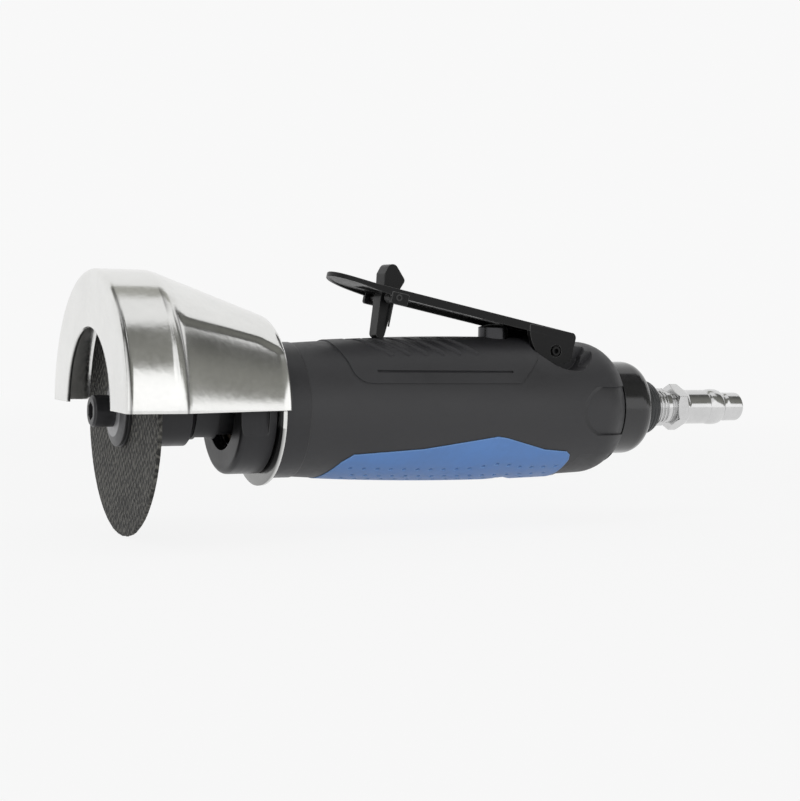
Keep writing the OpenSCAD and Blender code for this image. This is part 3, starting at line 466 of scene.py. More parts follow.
def handling_effect(name):
    """Soft smudges and fine specks from use, as a mask from 0 to 1."""
    tree, given, out = effect(name, {"Scale": 60.0, "Speck": 0.35}, {"Mask": "NodeSocketFloat"})
    place = object_place(tree)
    broad = noise(tree, place, given["Scale"], 4.0)
    speck = noise(tree, place, reckon(tree, "MULTIPLY", given["Scale"], 9.0), 2.0)
    both = mix_mask(tree, given["Speck"], broad, speck)
    tree.links.new(span(tree, both, 0.35, 0.65), out["Mask"])
    return tree


def streak_effect(name):
    """Long fine streaks along X or round the axis, as a mask from 0 to 1."""
    tree, given, out = effect(name, {"Along": 25.0, "Across": 700.0}, {"Mask": "NodeSocketFloat"})
    sizes = {"X": given["Across"], "Y": given["Along"], "Z": given["Along"]}
    scale = put(tree, "ShaderNodeCombineXYZ", sizes).outputs[0]
    both = {0: object_place(tree), 1: scale}
    drawn = put(tree, "ShaderNodeVectorMath", both, operation="MULTIPLY").outputs[0]
    tree.links.new(span(tree, noise(tree, drawn, 1.0), 0.3, 0.7), out["Mask"])
    return tree


def edge_effect(name):
    """Rounded edges as a normal, and a mask of the edges, where colour is lightened partly as wear and partly
    as painted highlight.
    """
    outputs = {"Normal": "NodeSocketVector", "Mask": "NodeSocketFloat"}
    tree, given, out = effect(name, {"Radius": 0.0004}, outputs)
    rounded = put(tree, "ShaderNodeBevel", {"Radius": given["Radius"]}, samples=6).outputs[0]
    both = {0: rounded, 1: put(tree, "ShaderNodeNewGeometry").outputs["Normal"]}
    facing = put(tree, "ShaderNodeVectorMath", both, operation="DOT_PRODUCT").outputs["Value"]
    tree.links.new(rounded, out["Normal"])
    tree.links.new(span(tree, facing, 0.985, 0.86), out["Mask"])
    return tree


EFFECT_MAKERS = {
    "fine_grain": grain_effect,
    "handling": handling_effect,
    "streaks": streak_effect,
    "edge_wear_and_highlight": edge_effect,
}
EFFECTS = {}


def use(tree, name, **inputs):
    """Places a shared effect in a material, building it the first time."""
    if name not in EFFECTS:
        EFFECTS[name] = EFFECT_MAKERS[name](name)
    return put(tree, "ShaderNodeGroup", inputs, node_tree=EFFECTS[name]).outputs


def shade(value, factor=1.0):
    """A colour times a factor, with alpha."""
    return tuple(min(1.0, c * factor) for c in value) + (1.0,)


def grey(level):
    """A neutral colour."""
    return (level, level, level)


def begin_material(name):
    """A node material with its shader."""
    material = bpy.data.materials.new(name)
    material.use_nodes = True
    tree = material.node_tree
    return material, tree, tree.nodes["Principled BSDF"]


def surface(
    name,
    tone,
    rough,
    metallic=0.0,
    vary=0.15,
    rough_vary=0.08,
    smudge=60.0,
    grain=0.0,
    grain_scale=900.0,
    edge=0.0004,
    wear_highlight=None,
    coat=0.0,
    streak=None,
    specular=0.5,
):
    """A finish with smudged colour and gloss, grain in relief, and rounded edges whose colour may be lighter,
    partly as wear and partly as painted highlight.

    A streak gives how fine streaks are along and across X, and their share of the smudges.
    """
    material, tree, shader = begin_material(name)
    mask = use(tree, "handling", Scale=smudge)["Mask"]
    if streak:
        along, across, share = streak
        mask = mix_mask(tree, share, mask, use(tree, "streaks", Along=along, Across=across)["Mask"])
    base = mix_tone(tree, mask, shade(tone, 1 - vary), shade(tone, 1 + vary))
    gloss = span(tree, mask, 0.0, 1.0, rough - rough_vary, rough + rough_vary)
    lit_worn_edges = use(tree, "edge_wear_and_highlight", Radius=edge)
    normal = lit_worn_edges["Normal"]
    # Lighter edges: partly worn finish, partly painted highlight along the rims
    if wear_highlight:
        base = mix_tone(tree, lit_worn_edges["Mask"], base, shade(wear_highlight))
    if grain:
        normal = emboss(tree, use(tree, "fine_grain", Scale=grain_scale)["Height"], grain, Normal=normal)
    tree.links.new(base, shader.inputs["Base Color"])
    tree.links.new(gloss, shader.inputs["Roughness"])
    tree.links.new(normal, shader.inputs["Normal"])
    shader.inputs["Metallic"].default_value = metallic
    shader.inputs["Specular IOR Level"].default_value = specular
    shader.inputs["Coat Weight"].default_value = coat
    shader.inputs["Coat Roughness"].default_value = 0.08
    return material


def reopen(material):
    """The tree of a finish, its colour socket and what colours it so far."""
    tree = material.node_tree
    socket = tree.nodes["Principled BSDF"].inputs["Base Color"]
    return tree, socket, socket.links[0].from_socket


def guard_finish(look):
    """Bright plated sheet with painted shade along its press lines, a darker arch edge, and painted shade on
    the clamping plate for the dark cap it reflects.
    """
    material = surface(
        "guard_steel",
        look.steel,
        0.18,
        metallic=1.0,
        vary=0.07,
        rough_vary=0.06,
        smudge=70.0,
        grain=0.00003,
        grain_scale=420.0,
        streak=(60.0, 30.0, 0.4),
    )
    tree, socket, base = reopen(material)
    # Painted shade along the press lines and on the clamping plate, and a darker arch edge
    for name, share, tone in (("crease", 0.85, 0.13), ("arch_edge_and_plate_shade", 0.9, 0.22)):
        mask = put(tree, "ShaderNodeAttribute", attribute_name=name).outputs["Fac"]
        base = mix_tone(tree, reckon(tree, "MULTIPLY", mask, share), base, shade(look.steel, tone))
    tree.links.new(base, socket)
    return material


def abrasive_finish(look):
    """Resin bond pressed over glass fabric: crossed threads with pits between them, and grit in relief."""
    material, tree, shader = begin_material("abrasive")
    place = object_place(tree)
    weave = {"Scale": 140.0, "Distortion": 5.5, "Detail": 2.0, "Detail Scale": 2.5}
    threads = []
    for turn in (38.0, -52.0):
        turned = {"Vector": place, "Rotation": (math.radians(turn), 0.0, 0.0)}
        laid = {"Vector": put(tree, "ShaderNodeMapping", turned).outputs[0], **weave}
        threads.append(put(tree, "ShaderNodeTexWave", laid, bands_direction="Y").outputs["Fac"])
    grit, blotch = noise(tree, place, 1500.0), noise(tree, place, 90.0)
    relief = reckon(tree, "MULTIPLY_ADD", grit, 1.6, reckon(tree, "ADD", *threads))
    patchy = reckon(tree, "MULTIPLY_ADD", blotch, 0.8, relief)
    base = mix_tone(tree, span(tree, patchy, 1.75, 3.0), shade(look.bond), shade(look.fibre))
    tree.links.new(base, shader.inputs["Base Color"])
    tree.links.new(span(tree, grit, 0.0, 1.0, 0.6, 0.9), shader.inputs["Roughness"])
    tree.links.new(emboss(tree, relief, 0.0004), shader.inputs["Normal"])
    return material


def flange_finish(look):
    """Blackened flange whose front face is turned bright."""
    material = surface("flange_steel", look.flange, 0.4, metallic=0.6)
    tree, socket, base = reopen(material)
    along = put(tree, "ShaderNodeSeparateXYZ", {0: object_place(tree)}).outputs["X"]
    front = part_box("outer_flange")[0].x
    rings = use(tree, "handling", Scale=900.0)["Mask"]
    # Each bright part: where it ends behind the front, how far it fades, how much brighter it is
    for depth, fade, tone in ((1.7 * MM, 0.2 * MM, 2.6), (0.12 * MM, 0.1 * MM, 9.0)):
        turned = mix_tone(tree, rings, shade(look.flange, 0.92 * tone), shade(look.flange, 1.08 * tone))
        mask = span(tree, along, front + depth, front + depth + fade, 1.0, 0.0)
        base = mix_tone(tree, mask, base, turned)
    tree.links.new(base, socket)
    return material


FINISHES = {}


def make_finishes(look):
    """Builds one material for each of the record's slots, and one for the lever's pin."""
    # Edge colours lighten the edges, partly as wear and partly as painted highlight
    fine, wear_highlight_grey = 0.00003, grey(0.09)
    near_black = (0.022, 0.022, 0.024)
    plain = dict(
        housing_metal=dict(tone=near_black, rough=0.42, metallic=0.2, wear_highlight=grey(0.06)),
        grip_black=dict(
            tone=look.grip.body, rough=0.50, grain=fine, grain_scale=1500.0, vary=0.08, edge=0.00025
        ),
        grip_blue=dict(
            tone=look.grip.insert,
            rough=0.48,
            grain=fine,
            grain_scale=1800.0,
            vary=0.06,
            edge=0.0008,
            wear_highlight=(0.16, 0.31, 0.60),
        ),
        black_steel=dict(
            tone=near_black, rough=0.36, metallic=0.4, wear_highlight=wear_highlight_grey, streak=(40.0, 900.0, 0.5)
        ),
        inner_steel=dict(
            tone=(0.45, 0.45, 0.46), rough=0.32, metallic=1.0, streak=(40.0, 1200.0, 0.6)
        ),
        bearing_steel=dict(tone=(0.7, 0.7, 0.72), rough=0.12, metallic=1.0, rough_vary=0.04),
        # Brass painted near black as painted shade, so the bearing cage in the cap's hole reads as dark
        brass=dict(tone=(0.05, 0.036, 0.02), rough=0.55, metallic=1.0),
        spring_steel=dict(tone=grey(0.05), rough=0.3, metallic=1.0, edge=0.0001),
        bushing_grey=dict(tone=(0.030, 0.032, 0.033), rough=0.40, metallic=0.3, wear_highlight=wear_highlight_grey, edge=0.0002),
        nickel=dict(
            tone=look.inlet.nickel, rough=0.13, metallic=1.0, rough_vary=0.05, vary=0.06, edge=0.0003
        ),
        seal_rubber=dict(tone=grey(0.02), rough=0.6, grain=0.00002),
        collar_black=dict(tone=(0.008, 0.008, 0.009), rough=0.16, rough_vary=0.05, coat=0.4),
        vane_resin=dict(tone=(0.35, 0.2, 0.1), rough=0.55, grain=fine, streak=(300.0, 60.0, 0.7)),
        lever_black=dict(tone=look.lever.paint, rough=0.32, wear_highlight=grey(0.11), edge=0.0003, specular=0.18),
        roll_pin=dict(tone=grey(0.006), rough=0.3, edge=0.0002, specular=0.2),
        plunger_steel=dict(
            tone=(0.05, 0.05, 0.053), rough=0.24, metallic=0.9, streak=(40.0, 40.0, 0.4)
        ),
    )
    FINISHES.update({name: surface(name, **values) for name, values in plain.items()})
    FINISHES["abrasive"] = abrasive_finish(look.disc)
    FINISHES["flange_steel"] = flange_finish(look.disc)
    FINISHES["guard_steel"] = guard_finish(look.guard)


class CUTOFF_OT_finishes(bpy.types.Operator):
    """Gives every CAD node the procedural finish of its slot"""

    bl_idname = "cutoff.finishes"
    bl_label = "Finishes"

    def execute(self, context):
        make_finishes(context.scene.cutoff_tool)
        for name, node in NODES.items():
            for slot in node.material_slots:
                slot.material = FINISHES["roll_pin" if name == "lever_pin" else slot.material.name]
        return {"FINISHED"}


class CUTOFF_OT_guard(bpy.types.Operator):
    """Presses the guard: front wall, rolled corner, rim with sunk panels, taper and clamping plate"""

    bl_idname = "cutoff.guard"
    bl_label = "Disc guard"

    def execute(self, context):
        look = context.scene.cutoff_tool.guard
        low, high = box_mm("disc_guard")
        front, rear, radius, plate = low.x, high.x, high.z, -low.z
        corner, crease, edge_z = 2.0, 5.0, 1.5
        arch, rear_r, hole = 25.0, 29.0, 17.05
        slope = (radius - rear_r) / (rear - crease)
        first = math.degrees(math.asin(edge_z / radius))
        # Side panels: their ends in mm, their top and the fade below it in degrees of rise
        panel_front, panel_rear, panel_top, panel_fade = -11.0, 3.4, 60.5, 28.0

        # Outer surface from the arch back to the hole, as [x, r]
        outline = [(front, r) for r in spread(arch, radius - corner, 9)]
        outline += arc(front + corner, radius - corner, corner, 180, 90, 10)[1:]
        outline += [(x, radius) for x in spread(front + corner, crease - 1.6, 30)[1:]]
        outline += [(crease - 0.8, radius - 0.03), (crease, radius - 0.16), (crease + 0.8, radius - 0.42)]
        outline += [(x, radius - (x - crease) * slope) for x in spread(crease + 1.6, rear - 2.2, 34)]
        outline += [(rear - 1.2, rear_r + 1.2 * slope - 0.15), (rear - 0.5, rear_r - 0.35)]
        outline += [(rear - 0.1, rear_r - 1.1)]
        outline += [(rear, r) for r in (rear_r - 2.0, plate, 21.3, 19.2, hole)]

        def lowest(p):
            return rise(p) < first + 0.2

        def on_plate(p):
            return reach(p) < plate + 0.1

        piece = start_piece("disc_guard_pressed")
        trace(outline, tilt=first)
        bpy.ops.mesh.select_all(action="SELECT")
        spin(180 - 2 * first, 128)
        # The clamping plate goes on round below the axis
        pick(lambda p: p.y < 0 and lowest(p) and p.x > rear - 0.01 and on_plate(p), "EDGE")
        spin(-(180 + 2 * first), 128)
        close_up()
        # Lower edges lie level
        pick(lambda p: rise(p) > 0 and lowest(p) and reach(p) > plate + 0.1)
        bpy.ops.transform.resize(value=(1, 1, 0), center_override=(0, 0, edge_z * MM))
        bpy.ops.object.mode_set(mode="OBJECT")

        def panel(p):
            along = ramp(p.x, panel_front, panel_front + 1.0) * (1 - ramp(p.x, panel_rear - 0.9, panel_rear))
            return along * min(1.0, max(0.0, (panel_top - rise(p)) / panel_fade))

        def flank_top(x):
            top = 42.0 + 0.08 * (x - 10) - 0.7 * max(0.0, x - 33)
            return top + 7.0 * max(0.0, 1 - (x - crease) / 3.5) ** 2

        def flank(p):
            top = flank_top(p.x)
            along = ramp(p.x, crease + 0.2, crease + 1.8) * (1 - ramp(p.x, rear - 2.4, rear - 1.2))
            return along * (1 - ramp(rise(p), top - 1.6, top + 1.6))

        # Painted shade along the press lines, where the folds of the sheet hide the bright room
        def crease_shade(p):
            up = rise(p)
            below_top = 1 - ramp(up, panel_top - 1.5, panel_top + 0.5)
            panel_line = bell(p.x - panel_front - 0.25, 0.4) * below_top
            crease_line = bell(p.x - crease - 0.7, 0.4) * (1 - ramp(up, 46, 50))
            rear_line = 0.8 * bell(p.x - panel_rear + 0.3, 0.35) * ramp(up, 42, 50) * below_top
            flank_line = 0.35 * bell(up - flank_top(p.x), 2.0) * ramp(p.x, crease, crease + 1.5)
            return max(panel_line, crease_line, rear_line, flank_line)

        # A darker arch edge, and painted shade on the clamping plate for the dark cap it reflects
        def arch_edge_and_plate_shade(p):
            cut_edge = reach(p) < arch + 0.1 and front + 0.25 < p.x < crease
            at_plate = abs(p.x - rear + look.sheet / MM) < 0.2 and reach(p) < plate + 0.5
            return float(cut_edge or at_plate and p.z < -4)

        press(piece, "panel", panel, -look.panel_depth)
        press(piece, "flank", flank, -look.flank_depth)
        thicken(piece, look.sheet)
        round_edges(piece, 0.3 * MM, 2, 62)
        smooth(piece, 38)
        mark(piece, "crease", crease_shade)
        mark(piece, "arch_edge_and_plate_shade", arch_edge_and_plate_shade)
        hand_over(piece, "disc_guard", "guard_steel")
        return {"FINISHED"}


class CUTOFF_OT_disc(bpy.types.Operator):
    """Turns the cutting disc with a gritty rim"""

    bl_idname = "cutoff.disc"
    bl_label = "Cutting disc"

    def execute(self, context):
        look = context.scene.cutoff_tool.disc
        low, high = box_mm("cutting_disc")
        front, rear, rim = low.x, high.x, high.z
        bore, flat_r = 5.0, 14.0
        face = spread(bore, rim - 0.4, 8)
        outline = [(front, r) for r in face] + [(front + 0.1, rim - 0.1)]
        outline += [(x, rim) for x in spread(front + 0.6, rear - 0.2, 4)]
        outline += [(rear - 0.1, rim - 0.1)] + [(rear, r) for r in reversed(face)]
        # Only the rear face leans in towards the rim
        outline = [(x - look.taper / MM * ramp(r, flat_r, rim) * (x > front + 0.2), r) for x, r in outline]
        piece = lathe("cutting_disc_bonded", outline, steps=420)
        weigh(piece, "rim", lambda p: ramp(reach(p), rim - 0.5, rim - 0.05))
        grit = bpy.data.textures.new("rim_grit", "CLOUDS")
        grit.noise_scale = 0.8 * MM
        modify(
            piece,
            "DISPLACE",
            texture=grit,
            texture_coords="LOCAL",
            direction="NORMAL",
            mid_level=0.8,
            strength=look.rim_grit,
            vertex_group="rim",
        )
        smooth(piece, 40)
        hand_over(piece, "cutting_disc", "abrasive")
        return {"FINISHED"}


class CUTOFF_OT_flange(bpy.types.Operator):
    """Turns the outer flange with its sloped face and stepped edge"""

    bl_idname = "cutoff.flange"
    bl_label = "Outer flange"

    def execute(self, context):
        low, high = box_mm("outer_flange")
        front, rear, rim, bore = low.x, high.x, high.z, 3.1
        outline = [(front + 0.3, bore), (front, bore + 0.3), (front, rim - 3.6)]
        outline += [(front + 0.15, rim - 3.2), (front + 0.6, rim - 1.3), (front + 0.85, rim - 0.6)]
        outline += [(front + 1.1, rim - 0.2), (front + 1.6, rim - 0.2), (front + 1.75, rim - 0.6)]
        outline += [(front + 2.0, rim - 0.6), (front + 2.15, rim), (rear, rim), (rear, bore)]
        piece = lathe("outer_flange_turned", outline, steps=128)
        smooth(piece, 40)
        hand_over(piece, "outer_flange", "flange_steel")
        return {"FINISHED"}


class CUTOFF_OT_lever(bpy.types.Operator):
    """Presses the throttle lever: plate with turned-down lip and lifted tip, ears, catch tabs and slot"""

    bl_idname = "cutoff.lever"
    bl_label = "Throttle lever"

    def execute(self, context):
        look = context.scene.cutoff_tool.lever
        low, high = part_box("lever_pin")
        # Sizes in mm from the pin with the plate level, and the plate's slope at rest in degrees
        tip, rear, half, under, thick, slope = 80.1, 6.6, 11.0, 5.2, 2.0, 11.4
        top, catch = under + thick, -59.9
        sheet, lip = look.sheet / MM, look.lip / MM

        # Plan of the plate, round at the tip
        plan = [(half - tip - half * math.sin(a), half * math.cos(a)) for a in spread(0, math.pi, 25)]
        plan += [(rear - 1.0, -half), (rear - 1.0, half)]
        piece = start_loop("throttle_lever_pressed", plan, tilt=0)
        bpy.ops.mesh.edge_face_add()
        bpy.ops.transform.translate(value=(0, 0, top * MM))
        for x in spread(-tip + 1, -tip + 26, 13) + [catch - 10, catch + 14]:
            bpy.ops.mesh.select_all(action="SELECT")
            bpy.ops.mesh.bisect(plane_co=(x * MM, 0, 0), plane_no=(1, 0, 0))
        bpy.ops.mesh.select_mode(type="EDGE")
        bpy.ops.mesh.select_all(action="DESELECT")
        bpy.ops.mesh.select_non_manifold(
            extend=False, use_wire=False, use_multi_face=False, use_non_contiguous=False, use_verts=False
        )
        bpy.ops.mesh.extrude_edges_move(TRANSFORM_OT_translate={"value": (0, 0, -lip * MM)})
        close_up()
        bpy.ops.object.mode_set(mode="OBJECT")

        def fade(p):
            return ramp(-p.x, tip - 24, tip - 5) if p.z < top - 0.5 * lip else 0

        def bend(p):
            return max(0.0, (tip - 14 + p.x) / -14) ** 2 if p.x < 14 - tip else 0

        # The lip fades and the plate lifts towards the tip
        press(piece, "fade", fade, (lip - sheet - 0.3) * MM, "Z")
        press(piece, "tip", bend, look.lift, "Z")
        thicken(piece, look.sheet)
        carve(piece, block("slot", catch - 9.6, catch + 12.9, under - 2, top + 2, -3.5, 3.5))
        carve(piece, block("window", catch - 2.4, catch + 2.4, under - 2, top + 2, -8.6, -3.0))

        ear = arc(rear - 1.6, top - 1.6, 1.6, 90, 0, 5) + [(rear, -0.4)]
        ear += arc(rear - 2.2, -0.9, 2.2, 0, -50, 4) + arc(0, top, 11.4, 298, 186, 26) + [(-11.3, top - 0.5)]
        tab = [(catch - 2.4, top - sheet), (catch - 2.4, under - 1.6)]
        tab += arc(catch - 1.6, under - 2.1, 0.8, 180, 270, 4)
        tab += arc(catch + 2.6, under - 2.1, 0.8, 270, 360, 4) + [(catch + 3.4, top - sheet)]
        bore = arc(0, 0, 2.1, 0, 350, 35)
        ear_wall, tab_wall, bore_depth, proud = 1.8, 1.4, 0.9, 0.1
        plates = []
        for side in (-1, 1):
            outside = side * (half + proud)
            plates.append(prism("ear", ear, outside, side * (half - ear_wall)))
            # The pin's end lies in a counterbore of the ear
            carve(plates[-1], prism("counterbore", bore, side * (half + 1), side * (half - bore_depth)))
            plates.append(prism("tab", tab, outside, side * (half - tab_wall)))
        join(piece, *plates)
        round_edges(piece, look.edge, 3, 40)
        turn = Matrix.Rotation(math.radians(slope), 4, "Y")
        piece.matrix_world = Matrix.Translation((low + high) / 2) @ turn
        only(piece)
        bpy.ops.object.transform_apply(location=True, rotation=True, scale=True)
        smooth(piece, 35, even=True)
        hand_over(piece, "throttle_lever", "lever_black")
        return {"FINISHED"}


class CUTOFF_OT_catch(bpy.types.Operator):
    """Rounds the edges of the lock-off catch"""

    bl_idname = "cutoff.catch"
    bl_label = "Lock-off catch"

    def execute(self, context):
        piece = copy_solid("lock_catch", "lock_catch_rounded")
        bpy.ops.object.mode_set(mode="EDIT")
        bpy.ops.mesh.select_all(action="SELECT")
        bpy.ops.mesh.dissolve_limited(angle_limit=math.radians(3))
        bpy.ops.object.mode_set(mode="OBJECT")
        round_edges(piece, 0.35 * MM, 3, 28)
        smooth(piece, 40, even=True)
        hand_over(piece, "lock_catch", "lever_black")
        return {"FINISHED"}


class CUTOFF_OT_spring(bpy.types.Operator):
    """Smooths a merged copy of the valve spring, which rides on the body of its node"""

    bl_idname = "cutoff.spring"
    bl_label = "Valve spring"

    def execute(self, context):
        piece = copy_solid("valve_spring", "valve_spring_wound")
        smooth(piece, 40)
        hand_over(piece, "valve_spring", "spring_steel")
        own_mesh(piece)
        return {"FINISHED"}


class CUTOFF_OT_grip(bpy.types.Operator):
    """Sinks a round pocket about each ear of the lever into the grip"""

    bl_idname = "cutoff.grip"
    bl_label = "Grip sleeve"

    def execute(self, context):
        look = context.scene.cutoff_tool.grip
        piece = copy_solid("grip_sleeve", "grip_sleeve_moulded")
        low, high = box_mm("lever_pin")
        behind, above, floor, outside = 2.6, 6.6, 11.4, 30
        x, z = (low.x + high.x) / 2 + behind, (low.z + high.z) / 2 + above
        ring = arc(x, z, look.pocket / MM, 0, 354, 59)
        for side in (-1, 1):
            carve(piece, prism("pocket", ring, side * floor, side * outside))
        smooth(piece, 13)
        hand_over(piece, "grip_sleeve", "grip_black")
        return {"FINISHED"}


class CUTOFF_OT_insert(bpy.types.Operator):
    """Sinks rows of dimples into the soft insert of the grip"""

    bl_idname = "cutoff.insert"
    bl_label = "Grip insert"

    def execute(self, context):
        look = context.scene.cutoff_tool.grip
        piece = copy_solid("grip_insert", "grip_insert_dimpled")
        places = self.find_places(piece, look.pitch / MM)
        if not places:
            raise RuntimeError("the insert has no room for dimples")
        cutter = start_piece("dimples")
        bpy.ops.mesh.delete(type="VERT")
        for place in places:
            bpy.ops.mesh.primitive_uv_sphere_add(
                segments=12, ring_count=8, radius=look.dimple, location=place
            )
        bpy.ops.object.mode_set(mode="OBJECT")
        carve(piece, cutter)
        smooth(piece, 40)
        hand_over(piece, "grip_insert", "grip_blue")
        return {"FINISHED"}

    def find_places(self, piece, pitch):
        """Places on the insert's skin, in staggered rows, that lie clear of its border."""
        low, high = box_mm("grip_insert")
        peak = low.x + 0.695 * (high.x - low.x)
        deep, clear, level = 30.0, 2.0, 0.9
        places = []
        for row, swing in enumerate((-37.0, -25.5, -16.0, -5.5, 5.5, 16.0, 25.5, 37.0)):
            x = low.x + 8.0 + 0.5 * pitch * (row % 2)
            while x < high.x - 2.5:
                # The outer rows climb with the border at its peak
                lift = math.copysign(6.0 * bell(x - peak, 7), swing) if abs(swing) > 30 else 0.0
                a = math.radians(swing + lift)
                out = Vector((0.0, math.sin(a), -math.cos(a)))
                starts = [(Vector((x + aside, 0, 0)) + out * deep) * MM for aside in (-clear, 0.0, clear)]
                hits = [piece.ray_cast(start, -out, distance=0.4 * deep * MM) for start in starts]
                if all(hit[0] for hit in hits) and abs(hits[0][1].z - hits[2][1].z) < level * MM:
                    places.append(hits[1][1])
                x += pitch
        return places


class CUTOFF_OT_inlet(bpy.types.Operator):
    """Turns the ribbed bushing and the threaded plug nipple"""

    bl_idname = "cutoff.inlet"
    bl_label = "Air inlet"

    def execute(self, context):
        self.turn_bushing()
        self.turn_nipple(context.scene.cutoff_tool.inlet.thread_pitch / MM)
        return {"FINISHED"}

    def turn_bushing(self):
        """A domed bushing with fine ribs round it."""
        low, high = box_mm("inlet_bushing")
        shoulder = box_mm("rear_collar")[1].x
        flange = shoulder - 8.7
        wide, narrow, tail, socket, bore = high.z, 7.4, 8.0, 6.62, 4.0
        ribs, per_rib, rib_depth = 6, 8, 0.34
        outer = [(low.x, tail), (flange, tail), (flange, wide), (shoulder, wide)]
        steps = ribs * per_rib
        for i in range(1, steps + 1):
            a = math.radians(88.0 * i / steps)
            x, r = shoulder + (high.x - shoulder) * math.sin(a), narrow + (wide - narrow) * math.cos(a)
            wave = max(0.0, math.cos(2 * math.pi * i / per_rib))
            outer.append((x, r - rib_depth * wave**3 if i < steps - 4 else r))
        outer += [(high.x, narrow - 0.1)]
        inner = [(high.x, socket), (high.x - 12.0, socket), (high.x - 12.0, bore), (low.x, bore)]
        piece = lathe("inlet_bushing_ribbed", outer + inner, steps=128)
        smooth(piece, 50)
        hand_over(piece, "inlet_bushing", "bushing_grey")

    def turn_nipple(self, pitch):
        """A plug nipple: threaded shank, chamfered hexagon, stem, collar, groove and tip."""
        low, high = box_mm("air_nipple")
        seat = box_mm("inlet_bushing")[1].x
        start, end = low.x, high.x
        hexa, stem, tip = end - 29.7, end - 25.5, end - 6.5
        collar, core, crest, bore = tip - 8.4, 5.75, 6.55, 3.5
        shank_end, washer_r, washer_drop = hexa - 1.3, 6.85, 0.85
        outer = [(start, bore), (start, 6.4), (seat - 0.5, 6.4), (seat - 0.3, core), (shank_end, core)]
        outer += [(hexa - 1.2, core - 0.8), (hexa + 0.2, core - 0.8), (hexa + 0.2, 6.0), (stem - 0.1, 6.0)]
        outer += [(stem - 0.1, 6.9), (stem + 0.25, washer_r)]
        outer += [(stem + 0.25 + d, washer_r - washer_drop * ramp(d, 0, 1.9)) for d in (0.6, 1.2, 1.9)]
        outer += [(collar - 0.3, 6.0), (collar, 5.85), (collar + 0.3, 5.3), (collar + 0.7, 5.3)]
        outer += [(collar + 1.0, 5.75), (collar + 1.5, 6.05), (collar + 2.4, 6.22), (collar + 3.6, 6.28)]
        outer += [(tip - 3.6, 6.2), (tip - 2.7, 5.95), (tip - 2.1, 5.5), (tip - 1.7, 4.95), (tip - 1.4, 4.62)]
        outer += [(tip - 0.4, 4.6), (tip, 4.7), (tip + 0.3, 4.95), (tip + 0.6, 5.0)]
        outer += arc(end - 1.1, 3.9, 1.1, 90, 15, 6) + [(end - 0.1, 3.9), (end - 0.5, bore)]
        piece = lathe("air_nipple_turned", outer, steps=128)

        # The thread is a ridge wound on the shank
        first, root = seat - 1.2, core - 0.1
        foot, land = 0.44 * pitch, 0.07 * pitch
        profile = [(first - foot, root), (first - land, crest), (first + land, crest), (first + foot, root)]
        ridge = start_loop("ridge", profile)
        bpy.ops.object.mode_set(mode="OBJECT")
        turns = int((shank_end - first) / pitch)
        modify(ridge, "SCREW", axis="X", screw_offset=pitch * MM, iterations=turns, steps=72, render_steps=72)
        bpy.ops.object.mode_set(mode="EDIT")
        bpy.ops.mesh.select_all(action="SELECT")
        bpy.ops.mesh.fill_holes(sides=8)
        close_up()
        bpy.ops.object.mode_set(mode="OBJECT")

        hex_r, hex_bore, chamfer_r, round_r = 8.083, 4.5, 6.75, 8.15
        nut = lathe("nut", [(hexa, hex_bore), (hexa, hex_r), (stem, hex_r), (stem, hex_bore)], steps=6)
        round_off = [(hexa - 0.1, hex_bore - 0.1), (hexa - 0.1, chamfer_r), (hexa + 0.7, round_r)]
        round_off += [(stem - 0.7, round_r), (stem + 0.1, chamfer_r), (stem + 0.1, hex_bore - 0.1)]
        carve(nut, lathe("round_off", round_off), "INTERSECT")
        join(piece, ridge, nut)
        round_edges(piece, 0.12 * MM, 2, 50)
        smooth(piece, 32, even=True)
        hand_over(piece, "air_nipple", "nickel")


